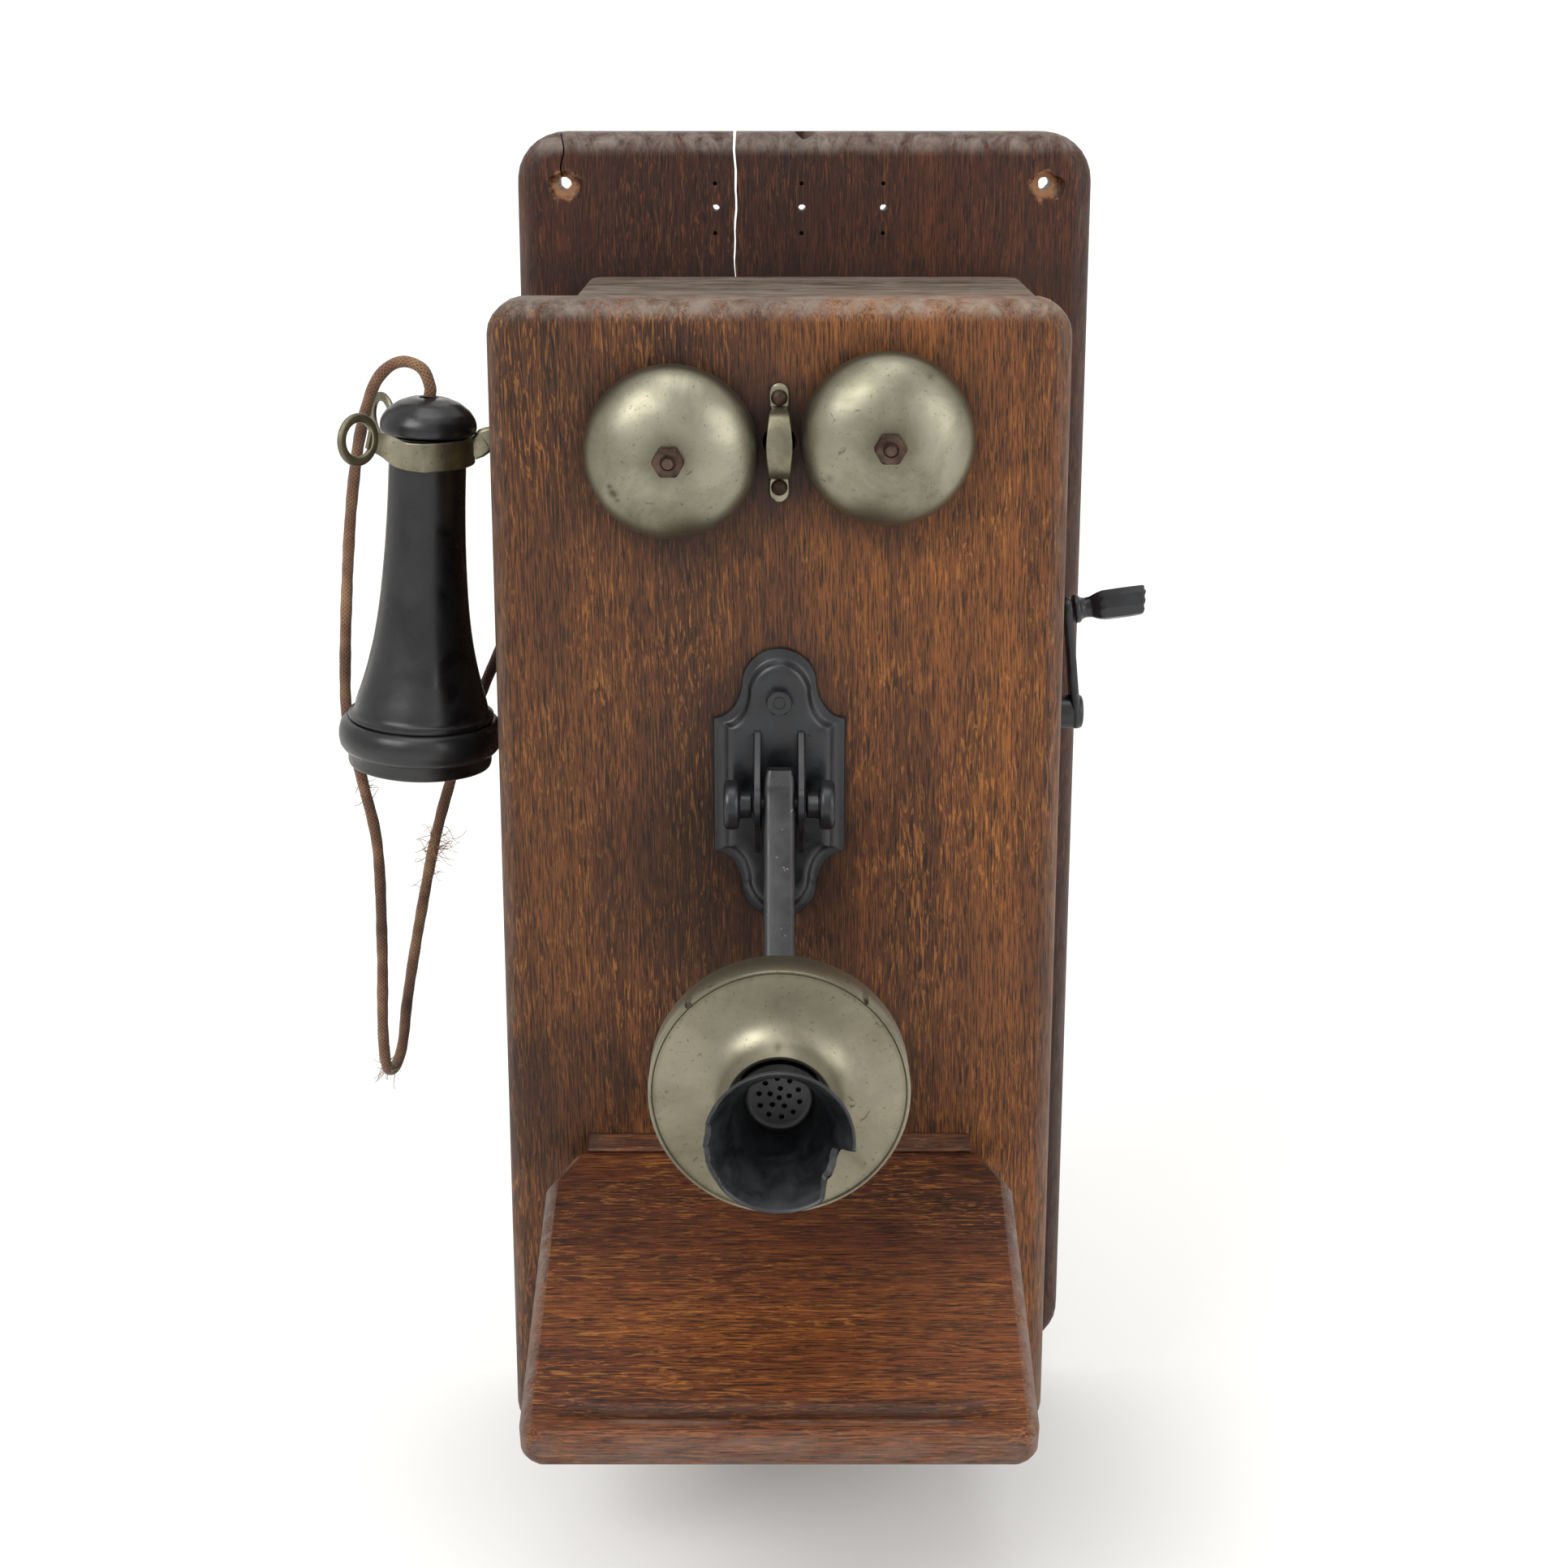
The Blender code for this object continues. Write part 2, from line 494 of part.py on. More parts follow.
def transmitter():
    face = Vector((DOOR_X, FACE_Y, FACE_Z))
    cup = [(0, -0.0240), (0.0366, -0.0226), (0.0398, -0.0185), (0.0404, -0.0012), (0.0422, -0.0012)]
    cup += [(0.0422, -0.0130), (0.0415, -0.0190), (0.0380, -0.0245), (0, -0.0262)]
    turned("transmitter_cup", cup, face, FRONT, NICKEL, TRANSMITTER, sides=28)
    plate_out = [(0.0190, 0.0120), (0.0205, 0.0085), (0.0240, 0.0052), (0.0310, 0.0028), (0.0438, 0.0006)]
    plate_out += [(FACE_RADIUS, -0.0006), (0.0440, -0.0130), (0.0426, -0.0130)]
    plate_in = [(0.0426, -0.0009), (0.0310, 0.0010), (0.0230, 0.0034), (0.0172, 0.0120)]
    turned("transmitter_face", plate_out + plate_in, face, FRONT, NICKEL, TRANSMITTER, sides=28, ring=True)
    horn = [(0, 0.0042), (0.0115, 0.0042), (0.0128, 0.0160), (0.0152, 0.0240), (0.0200, 0.0330)]
    horn += [(0.0232, 0.0400), (0.0249, 0.0400), (0.0225, 0.0330), (0.0180, 0.0240), (0.0160, 0.0160)]
    horn += [(0.0160, 0.0125), (0.0140, 0.0122), (0.0140, 0.0010), (0, 0.0010)]
    mouthpiece = turned("mouthpiece", horn, face, FRONT, HARD_RUBBER, TRANSMITTER, sides=20)
    for number in range(7):
        turn = math.tau * number / 6
        reach = 0.0 if number == 6 else 0.0055
        at = face + Vector((reach * math.cos(turn), 0, reach * math.sin(turn)))
        ends = [at + Vector(FRONT) * 0.0002, at + Vector(FRONT) * 0.0100]
        cut(mouthpiece, rod(f"grille_hole_{number}", *ends, 0.0011, None, TRANSMITTER, sides=6))
    disc = [(0, -0.0015), (0.0396, -0.0015), (0.0396, -0.0023), (0, -0.0023)]
    turned("transmitter_diaphragm", disc, face, FRONT, STEEL, TRANSMITTER, sides=24)
    button = [(0, -0.0030), (0.0020, -0.0030), (0.0020, -0.0050), (0.0125, -0.0050), (0.0125, -0.0160)]
    button += [(0.0050, -0.0165), (0.0050, -0.0236), (0, -0.0236)]
    turned("transmitter_button", button, face, FRONT, BRASS, TRANSMITTER, sides=20)


# Receiver, hook and cord -------------------------------------------------------------------------


def hook_ribbon():
    """Stations of one prong, from the shank round the neck to the end ring: (x, y, middle z, height)."""
    stations = []
    for step in range(7):
        turn = math.radians(15 * step)
        share = step / 6
        x, y = 0.0173 * math.cos(turn), 0.0173 * math.sin(turn)
        stations.append((x, y, 0.1630 + 0.0004 * share, 0.0100 + 0.0014 * share))
    stations.append((-0.0070, 0.0174, 0.1643, 0.0106))
    stations.append((-0.0120, 0.0186, 0.1676, 0.0094))
    stations.append((-0.0165, 0.0215, 0.1702, 0.0080))
    return stations


def hook():
    """A forked strap on a shank that turns on a pin inside the box."""
    near = hook_ribbon()
    rows = [(x, -y, z, h) for x, y, z, h in reversed(near[1:])] + near
    mesh = bpy.data.meshes.new("receiver_hook")
    verts = [(x, y, z + side * h / 2) for x, y, z, h in rows for side in (-1, 1)]
    faces = [(2 * i, 2 * i + 1, 2 * i + 3, 2 * i + 2) for i in range(len(rows) - 1)]
    mesh.from_pydata(verts, [], faces)
    fork = add("receiver_hook", mesh, NICKEL, HOOK)
    fork.location = (NECK_X, NECK_Y, 0)
    solid = fork.modifiers.new("Strap", "SOLIDIFY")
    solid.thickness = 0.0018
    solid.offset = 0
    for which, side in (("front", -1), ("rear", 1)):
        hole = [arc((0, 0), 0.0065, 0, 360 - 24, 14)]
        centre = (NECK_X - 0.0216, NECK_Y + side * 0.0283, 0.1720)
        turn = (math.pi / 2, 0, -side * math.radians(53))
        outline = arc((0, 0), 0.01025, 0, 360 - 20, 17)
        join(fork, plate(f"{which}_ring", outline, 0.0022, centre, turn, None, HOOK, hole))
    root = ((NECK_X + 0.0168, NECK_Y - 0.0030, 0.1590), (NECK_X + 0.0215, NECK_Y + 0.0030, 0.1678))
    shank = ((NECK_X + 0.0202, NECK_Y - 0.0025, 0.1648), (-0.0420, NECK_Y + 0.0025, 0.1738))
    join(fork, block("hook_root", *root, None, HOOK), block("hook_shank", *shank, None, HOOK))
    ends = [HOOK_PIVOT - Vector((0, 0.02, 0)), HOOK_PIVOT + Vector((0, 0.02, 0))]
    cut(fork, rod("hook_pivot_bore", *ends, 0.0023, None, HOOK, sides=16))


def hook_switch():
    """Inside the box: the cheeks that hold the hook's pin, and the springs under its tail."""
    wall = BOX_LEFT + BOX_WALL + GAP
    low, high = (wall, NECK_Y - 0.0065, 0.1600), (-0.0500, NECK_Y - 0.0045, 0.1900)
    bracket_node = block("hook_bracket", low, high, IRON)
    low, high = (wall, NECK_Y + 0.0045, 0.1600), (-0.0500, NECK_Y + 0.0065, 0.1900)
    join(bracket_node, block("hook_cheek", low, high, None))
    low, high = (wall, NECK_Y - 0.0110, 0.1850), (wall + 0.0020, NECK_Y + 0.0110, 0.1985)
    join(bracket_node, block("hook_wall_plate", low, high, None))
    ends = [HOOK_PIVOT - Vector((0, 0.0085, 0)), HOOK_PIVOT + Vector((0, 0.0085, 0))]
    join(bracket_node, rod("hook_pivot_pin", *ends, 0.0020, None, sides=16))
    low, high = (wall, NECK_Y - 0.0080, 0.1200), (-0.0620, NECK_Y + 0.0080, 0.1500)
    pile = block("switch_springs", low, high, HARD_RUBBER)
    for number, z in enumerate((0.1250, 0.1330, 0.1410)):
        low, high = (-0.0700, NECK_Y - 0.0030, z), (-0.0300, NECK_Y + 0.0030, z + 0.0010)
        join(pile, block(f"switch_leaf_{number}", low, high, None))


def receiver():
    """A turned shell that hangs by the lip of its tail cap, leaning slightly."""
    axis = Vector((math.sin(RECEIVER_LEAN), 0, math.cos(RECEIVER_LEAN)))
    top = RECEIVER_TOP
    cap = [(0.0034, 0), (0.0085, -0.0004), (0.0135, -0.0028), (0.0178, -0.0072), (0.0186, -0.0105)]
    cap += [(0.0180, -0.0138), (0.0162, -0.0142), (0.0034, -0.0142)]
    turned("receiver_tail_cap", cap, top, axis, HARD_RUBBER, RECEIVER, sides=20, ring=True)
    shell = [(0.0130, -0.0145), (0.0150, -0.0150), (0.0150, -0.0420), (0.0160, -0.0600), (0.0176, -0.0850)]
    shell += [(0.0200, -0.0990), (0.0236, -0.1110), (0.0284, -0.1245), (0.0284, -0.1270), (0.0262, -0.1270)]
    shell += [(0.0212, -0.1110), (0.0152, -0.0850), (0.0128, -0.0420), (0.0128, -0.0180)]
    turned("receiver_shell", shell, top, axis, HARD_RUBBER, RECEIVER, sides=20, ring=True)
    ear = [(0.0285, -0.1273), (0.0312, -0.1290), (0.0322, -0.1335), (0.0314, -0.1385), (0.0284, -0.1405)]
    ear += [(0.0280, -0.1450), (0.0266, -0.1465), (0.0150, -0.1438), (0.0050, -0.1408), (0.0050, -0.1393)]
    ear += [(0.0150, -0.1400), (0.0262, -0.1385), (0.0262, -0.1273)]
    turned("receiver_ear_cap", ear, top, axis, HARD_RUBBER, RECEIVER, sides=24, ring=True)
    disc = [(0, -0.1300), (0.0250, -0.1300), (0.0250, -0.1308), (0, -0.1308)]
    turned("receiver_diaphragm", disc, top, axis, STEEL, RECEIVER, sides=20)
    magnet = [(0, -0.0300), (0.0080, -0.0300), (0.0080, -0.1180), (0.0050, -0.1180), (0.0050, -0.1280), (0, -0.1280)]
    turned("receiver_magnet", magnet, top, axis, IRON, RECEIVER, sides=16)


def smooth_route(stops, spacing):
    """Points along a Catmull-Rom curve through the stops."""
    stops = [Vector(stop) for stop in stops]
    padded = [2 * stops[0] - stops[1], *stops, 2 * stops[-1] - stops[-2]]
    route = []
    for before, start, end, after in zip(padded, padded[1:], padded[2:], padded[3:]):
        count = max(1, round((end - start).length / spacing))
        for i in range(count):
            t = i / count
            bend = (2 * before - 5 * start + 4 * end - after) * t * t
            bend += (3 * start - before - 3 * end + after) * t ** 3
            route.append((2 * start + (end - before) * t + bend) / 2)
    return route + [stops[-1]]


def receiver_cord():
    """From the tail cap, over and down the outside, round a loop and back up to the box."""
    stops = [
        (-0.1445, -0.1160, 0.1843),
        (-0.1442, -0.1159, 0.1880),
        (-0.1470, -0.1156, 0.1947),
        (-0.1537, -0.1152, 0.1975),
        (-0.1604, -0.1145, 0.1950),
        (-0.1661, -0.1134, 0.1880),
        (-0.1712, -0.1115, 0.1740),
        (-0.1755, -0.1080, 0.1560),
        (-0.1800, -0.1040, 0.1260),
        (-0.1845, -0.0990, 0.0780),
        (-0.1855, -0.0950, 0.0500),
        (-0.1806, -0.0945, 0.0230),
        (-0.1756, -0.0950, -0.0050),
        (-0.1752, -0.0965, -0.0480),
        (-0.1760, -0.0981, -0.0800),
        (-0.1758, -0.0978, -0.0955),
        (-0.1752, -0.0945, -0.1032),
        (-0.1740, -0.0873, -0.1062),
        (-0.1724, -0.0801, -0.1032),
        (-0.1710, -0.0768, -0.0955),
        (-0.1690, -0.0767, -0.0800),
        (-0.1630, -0.0785, -0.0480),
        (-0.1545, -0.0790, -0.0080),
        (-0.1465, -0.0795, 0.0200),
        (-0.1380, -0.0805, 0.0440),
        (-0.1270, -0.0830, 0.0700),
        (-0.1130, -0.0865, 0.0980),
        (-0.1020, -0.0878, 0.1125),
        (-0.0925, -0.0880, 0.1166),
        (-0.0800, -0.0880, 0.1170),
    ]
    tube("receiver_cord", smooth_route(stops, 0.0125), CORD_DIAMETER / 2, BRAID)


# Generator and other works -----------------------------------------------------------------------


def crank():
    """A shaft through the box's side, an arm that slants inward, and an eight-sided handle."""
    rod("crank_shaft", (-0.0030, CRANK_Y, CRANK_Z), (0.0990, CRANK_Y, CRANK_Z), 0.0040, STEEL, CRANK, 24)
    bush = [(0.0110, 0.0155), (0.0110, 0.0125), (0.0080, 0.0125), (0.0080, 0), (0.0043, 0), (0.0043, 0.0155)]
    place = (BOX_RIGHT + GAP - 0.0125, CRANK_Y, CRANK_Z)
    turned("crank_bushing", bush, place, RIGHT, IRON, None, sides=20, ring=True)
    outline = arc((0, 0), 0.0070, 180, 360, 8) + arc((0, CRANK_RADIUS), 0.0050, 0, 180, 8)
    turn = (Matrix.Rotation(-ARM_LEAN, 3, "Y") @ Euler(SIDE_VIEW).to_matrix()).to_euler()
    arm = plate("crank_arm", outline, ARM_THICK, (ARM_X, CRANK_Y, CRANK_Z), turn, BLACK_ENAMEL, CRANK)
    hub = [(0.0938, CRANK_Y, CRANK_Z), (0.1125, CRANK_Y, CRANK_Z)]
    join(arm, rod("crank_hub", *hub, 0.0068, None, CRANK, 24))
    cut(arm, rod("crank_hub_bore", (0.080, CRANK_Y, CRANK_Z), (0.0993, CRANK_Y, CRANK_Z), 0.0043, None, CRANK, 24))
    axis = (math.cos(KNOB_LEAN), 0, math.sin(KNOB_LEAN))
    handle = [(0, 0.0290), (0.0058, 0.0285), (0.0062, 0.0270), (0.0060, 0.0110), (0.0042, 0.0075)]
    handle += [(0.0042, 0.0030), (0.0058, 0.0020), (0.0058, 0), (0, 0)]
    turned("crank_handle", handle, KNOB_FOOT, axis, BLACK_ENAMEL, KNOB, sides=8)


def gear(name, teeth, centre, thickness, shaft, material, joint, phase):
    """A spur gear with straight-sided teeth, cut a little narrow so that a pair runs free."""
    pitch = teeth * GEAR_MODULE / 2
    top, root = pitch + 0.75 * GEAR_MODULE, pitch - 1.05 * GEAR_MODULE
    step = math.tau / teeth
    outline = []
    for tooth in range(teeth):
        middle = phase + tooth * step
        for radius, share in ((root, -0.30), (top, -0.13), (top, 0.13), (root, 0.30)):
            turn = middle + share * step
            outline.append((radius * math.cos(turn), radius * math.sin(turn)))
    hole = arc((0, 0), shaft, 0, 360 - 18, 19)
    return plate(name, outline, thickness, centre, SIDE_VIEW, material, joint, [hole])


def generator():
    """The magneto: end plates, pole pieces, an armature and its pinion, and three horseshoe magnets."""
    block("generator_shelf", (-0.0777, -0.118, -0.0030), (0.0777, BOX_BACK - 0.001, 0.0070), PINE)
    for which, x in (("left", 0.0015), ("right", 0.0595)):
        low, high = (x - 0.0015, CRANK_Y - 0.022, 0.0073), (x + 0.0015, CRANK_Y + 0.022, 0.0640)
        end = block(f"generator_{which}_plate", low, high, BRASS)
        for height, radius in ((CRANK_Z, 0.0043), (ARMATURE_Z, 0.0028)):
            ends = [(x - 0.01, CRANK_Y, height), (x + 0.01, CRANK_Y, height)]
            cut(end, rod(f"{which}_bore_{height:.3f}", *ends, radius, None, sides=20))
    for which, side in (("front", -1), ("rear", 1)):
        edges = sorted((CRANK_Y + side * 0.0060, CRANK_Y + side * 0.0170))
        pole = block(f"{which}_pole_piece", (0.0040, edges[0], 0.0100), (0.0560, edges[1], 0.0372), IRON)
        ends = [(-0.01, CRANK_Y, ARMATURE_Z), (0.07, CRANK_Y, ARMATURE_Z)]
        cut(pole, rod(f"{which}_pole_bore", *ends, 0.0108, None))
    for number, x in enumerate((0.0170, 0.0430)):
        bend = 0.0570
        outline = [(-0.0250, 0.0105)] + [(0.0250, 0.0105)] + arc((0, bend), 0.0250, 0, 180, 12)
        inner = [(-0.0173, 0.0105)] + arc((0, bend), 0.0173, 180, 0, 10) + [(0.0173, 0.0105)]
        horseshoe = [outline[1]] + outline[2:] + [outline[0]] + inner
        plate(f"magnet_{number + 1}", horseshoe, 0.0230, (x, CRANK_Y, 0), SIDE_VIEW, IRON)
    reel = [(0, 0.0720), (0.0024, 0.0720), (0.0024, 0.0530), (0.0102, 0.0530), (0.0102, 0.0070)]
    reel += [(0.0024, 0.0070), (0.0024, -0.0020), (0, -0.0020)]
    core = turned("armature", reel, (0, CRANK_Y, ARMATURE_Z), RIGHT, IRON, ARMATURE, sides=20)
    for which, side in (("top", 1), ("bottom", -1)):
        edges = sorted((ARMATURE_Z + side * 0.0045, ARMATURE_Z + side * 0.0120))
        low, high = (0.0100, CRANK_Y - 0.0040, edges[0]), (0.0500, CRANK_Y + 0.0040, edges[1])
        cut(core, block(f"winding_slot_{which}", low, high, None, ARMATURE))
    gear("drive_gear", GEAR_TEETH, (0.0665, CRANK_Y, CRANK_Z), 0.0040, 0.0042, BRASS, CRANK, math.pi / 2)
    phase = math.pi / 2 + math.pi / PINION_TEETH
    gear("pinion", PINION_TEETH, (0.0665, CRANK_Y, ARMATURE_Z), 0.0050, 0.0026, STEEL, ARMATURE, phase)


def other_works():
    coil = [(0, 0.0840), (0.0030, 0.0840), (0.0030, 0.0800), (0.0140, 0.0800), (0.0140, 0.0750)]
    coil += [(0.0125, 0.0750), (0.0125, 0.0050), (0.0140, 0.0050), (0.0140, 0), (0, 0)]
    turned("induction_coil", coil, (-0.0700, BOX_BACK - 0.0150, 0.1900), RIGHT, COPPER_WIRE, sides=18)
    for which, x in (("left", -0.0370), ("right", 0.0370)):
        cell = [(0, 0.1580), (0.0030, 0.1580), (0.0030, 0.1500), (0.0110, 0.1500), (0.0110, 0.1460)]
        cell += [(0.0325, 0.1460), (0.0325, 0), (0, 0)]
        place = (x, -0.0600, BOX_BOTTOM + BOX_WALL + GAP)
        turned(f"{which}_dry_cell", cell, place, UP, PAPER, sides=20)


backboard()
box()
hinges()
door()
for side_name, side_x, side_z in (("left", -GONG_APART, GONG_Z - 0.0023), ("right", GONG_APART, GONG_Z + 0.0023)):
    gong(side_name, DOOR_X + side_x, side_z)
clapper_guard()
ringer()
shelf()
bracket()
transmitter_arm()
transmitter()
hook()
hook_switch()
receiver()
receiver_cord()
crank()
generator()
other_works()
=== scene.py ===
import json
import math

import bmesh
import bpy
import numpy as np
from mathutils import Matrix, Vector


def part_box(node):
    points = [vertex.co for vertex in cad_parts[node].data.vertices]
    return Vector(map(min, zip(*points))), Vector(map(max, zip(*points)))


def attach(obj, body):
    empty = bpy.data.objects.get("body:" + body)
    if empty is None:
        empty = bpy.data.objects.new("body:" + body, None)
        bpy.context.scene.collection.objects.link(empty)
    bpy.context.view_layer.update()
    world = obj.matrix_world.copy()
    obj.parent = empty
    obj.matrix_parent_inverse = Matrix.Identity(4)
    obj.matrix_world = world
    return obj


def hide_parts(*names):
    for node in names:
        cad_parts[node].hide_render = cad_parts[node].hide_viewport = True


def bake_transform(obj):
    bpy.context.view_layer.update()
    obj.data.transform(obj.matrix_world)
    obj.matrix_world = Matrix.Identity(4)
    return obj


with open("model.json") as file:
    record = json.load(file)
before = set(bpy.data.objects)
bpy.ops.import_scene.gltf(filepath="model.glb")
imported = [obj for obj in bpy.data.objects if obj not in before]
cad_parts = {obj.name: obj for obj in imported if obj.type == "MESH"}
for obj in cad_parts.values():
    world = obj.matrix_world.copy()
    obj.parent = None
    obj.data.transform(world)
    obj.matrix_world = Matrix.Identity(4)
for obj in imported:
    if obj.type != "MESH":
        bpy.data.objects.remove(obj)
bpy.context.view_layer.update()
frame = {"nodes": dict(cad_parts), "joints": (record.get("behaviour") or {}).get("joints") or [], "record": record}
nodes = frame["nodes"]
joints = {joint["name"]: joint for joint in frame["joints"]}
slotOf = {part["node"]: part["material_slot"] for part in frame["record"]["subparts"]}
mm = 0.001
print("frame loaded:", len(nodes), "nodes")

# camera first
camera = {"place": (-0.0105, -1.023, 0.313), "lens": 54.6, "pitch": 14.0, "shiftAcross": 0.003,
    "shiftUp": -0.09}
eye = bpy.data.objects.new("studioCamera", bpy.data.cameras.new("studioCamera"))
bpy.context.scene.collection.objects.link(eye)
eye.location = camera["place"]
eye.rotation_euler = (math.radians(90 - camera["pitch"]), 0, 0)
eye.data.lens = camera["lens"]
eye.data.sensor_width = 36
eye.data.shift_x, eye.data.shift_y = camera["shiftAcross"], camera["shiftUp"]
eye.data.clip_start, eye.data.clip_end = 0.01, 100
bpy.context.scene.camera = eye


# shapes: every surface is a grid of points worked out as whole arrays

def boxOf(node):
    low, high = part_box(node)
    return np.array(low), np.array(high)


def unit(v):  # each vector divided by its own length
    v = np.asarray(v, float)
    return v / np.maximum(np.linalg.norm(v, axis=-1, keepdims=True), 1e-12)


def evenly(points, count, closed=False):
    # the same line with its points spread evenly along its length
    points = np.asarray(points, float)
    if closed:
        points = np.vstack([points, points[:1]])
    steps = np.linalg.norm(np.diff(points, axis=0), axis=1)
    along = np.concatenate([[0], np.cumsum(steps)])
    at = np.linspace(0, along[-1], count, endpoint=not closed)
    return np.stack([np.interp(at, along, points[:, k]) for k in range(points.shape[1])], axis=1)


def smoothLine(stops, count):
    # Catmull-Rom: each stretch is a cubic through its two stops, aimed by the stops on either side
    p = np.asarray(stops, float)
    p = np.vstack([2 * p[0] - p[1], p, 2 * p[-1] - p[-2]])
    t = np.linspace(0, 1, 12, endpoint=False)[None, :, None]
    a, b, c, d = (p[i:len(p) - 3 + i, None, :] for i in range(4))
    line = 0.5 * (2 * b + (c - a) * t + (2 * a - 5 * b + 4 * c - d) * t ** 2 + (3 * b - a - 3 * c + d) * t ** 3)
    return evenly(np.vstack([line.reshape(-1, p.shape[1]), p[-2]]), count)


def gridParts(grid, closedU=True, closedV=False, capStart=False, capEnd=False):
    # a grid of points (v rows of u points) as corner points and faces, row by row
    rows, cols = grid.shape[:2]
    index = np.arange(rows * cols).reshape(rows, cols)
    if closedU:
        index = np.hstack([index, index[:, :1]])
    if closedV:
        index = np.vstack([index, index[:1]])
    quads = np.stack([index[:-1, :-1], index[:-1, 1:], index[1:, 1:], index[1:, :-1]], axis=-1)
    faces = quads.reshape(-1, 4).tolist()
    if capStart:
        faces.append(index[0, :cols][::-1].tolist())
    if capEnd:
        faces.append(index[-1, :cols].tolist())
    return grid.reshape(-1, 3), faces


def meshOf(name, parts):
    # the parts of a piece as one mesh
    points = np.vstack([part[0] for part in parts])
    starts = np.cumsum([0] + [len(part[0]) for part in parts])
    faces = [[i + start for i in face] for part, start in zip(parts, starts) for face in part[1]]
    mesh = bpy.data.meshes.new(name)
    mesh.from_pydata(points.tolist(), [], faces)
    return mesh


def closeUp(mesh):
    # joins the corner points that meet, at poles and seams, and turns every face outwards
    bm = bmesh.new()
    bm.from_mesh(mesh)
    bmesh.ops.remove_doubles(bm, verts=bm.verts, dist=2e-6)
    bmesh.ops.recalc_face_normals(bm, faces=bm.faces)
    bm.to_mesh(mesh)
    bm.free()


def makePiece(name, parts, material, body, stands=(), uv=None, sharp=38):
    # joins the parts of a piece into one mesh, closes its poles and turns every face outwards
    mesh = meshOf(name, parts)
    if uv is not None:
        layer = mesh.uv_layers.new(name="surface")
        corners = np.empty(len(mesh.loops), np.int32)
        mesh.loops.foreach_get("vertex_index", corners)
        layer.data.foreach_set("uv", uv.reshape(-1, 2)[corners].ravel())
    closeUp(mesh)
    return dressPiece(name, mesh, material, body, stands, sharp)


def dressPiece(name, mesh, material, body, stands=(), sharp=38):
    mesh.shade_smooth()
    mesh.set_sharp_from_angle(angle=math.radians(sharp))
    piece = bpy.data.objects.new(name, mesh)
    bpy.context.scene.collection.objects.link(piece)
    piece.data.materials.clear()
    piece.data.materials.append(material)
    if body:
        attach(piece, body)
    if stands:
        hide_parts(*stands)
    return piece


def cutWith(piece, parts, cutterName, crossing=False):
    # takes the shape of the parts out of the piece, and leaves no modifier behind
    mesh = meshOf(cutterName, parts)
    closeUp(mesh)
    cutter = bpy.data.objects.new(cutterName, mesh)
    bpy.context.scene.collection.objects.link(cutter)
    change = piece.modifiers.new(cutterName, "BOOLEAN")
    change.operation, change.object, change.solver = "DIFFERENCE", cutter, "EXACT"
    change.use_self = crossing  # needed only where the cutting shapes cross each other
    bpy.context.view_layer.update()
    done = bpy.data.meshes.new_from_object(piece.evaluated_get(bpy.context.evaluated_depsgraph_get()))
    piece.modifiers.clear()
    old, piece.data = piece.data, done
    bpy.data.objects.remove(cutter)
    bpy.data.meshes.remove(old)
    piece.data.validate()
    piece.data.set_sharp_from_angle(angle=math.radians(38))
    return piece


def turnedGrid(profile, foot, direction, steps=96, wave=None):
    # a profile of (radius, height) turned about an axis: radius times (cos, sin), plus height along it
    profile = np.asarray(profile, float)
    axis = unit(direction)
    side = unit(np.cross(axis, [0, 0, 1] if abs(axis[2]) < 0.9 else [0, 1, 0]))
    up = np.cross(side, axis)
    turn = np.linspace(0, 2 * np.pi, steps, endpoint=False)
    radius, height = profile[:, 0, None], profile[:, 1, None] + 0 * turn
    if wave is not None:
        radius, height = wave(radius + 0 * turn, height, turn)
    around = np.cos(turn)[None, :, None] * side + np.sin(turn)[None, :, None] * up
    return np.asarray(foot) + radius[..., None] * around + height[..., None] * axis


def turnedParts(profile, foot, direction, steps=96, ring=False, wave=None):
    return gridParts(turnedGrid(profile, foot, direction, steps, wave), True, ring)


def softProfile(points, rounding=0.5 * mm):
    # rounds a profile's corners: each corner becomes a short parabola that starts a set distance away
    points = np.asarray(points, float)
    out = [points[:1]]
    t = np.linspace(0, 1, 5)[:, None]
    for before, corner, after in zip(points, points[1:], points[2:]):
        a = corner + unit(before - corner) * min(rounding, np.linalg.norm(before - corner) * 0.45)
        b = corner + unit(after - corner) * min(rounding, np.linalg.norm(after - corner) * 0.45)
        out.append((1 - t) ** 2 * a + 2 * t * (1 - t) * corner + t ** 2 * b)
    out.append(points[-1:])
    return np.vstack(out)


def tubeFrames(path):
    # a side direction at each point of a path, turned as little as possible from one point to the next
    path = np.asarray(path, float)
    ahead = unit(np.gradient(path, axis=0))
    side = np.zeros_like(path)
    side[0] = unit(np.cross(ahead[0], [0.3, 0.9, 0.2]))
    for i in range(1, len(path)):
        side[i] = unit(side[i - 1] - np.dot(side[i - 1], ahead[i]) * ahead[i])
    return ahead, side, np.cross(ahead, side)


def tubeParts(path, radius, sides=12):
    # a circle carried along a path: path + radius * (cos * side + sin * up)
    path = np.asarray(path, float)
    _, side, up = tubeFrames(path)
    turn = np.linspace(0, 2 * np.pi, sides, endpoint=False)
    radii = np.broadcast_to(np.asarray(radius, float), (len(path),))[:, None, None]
    ring = np.cos(turn)[None, :, None] * side[:, None] + np.sin(turn)[None, :, None] * up[:, None]
    return gridParts(path[:, None] + radii * ring, True, False, True, True)


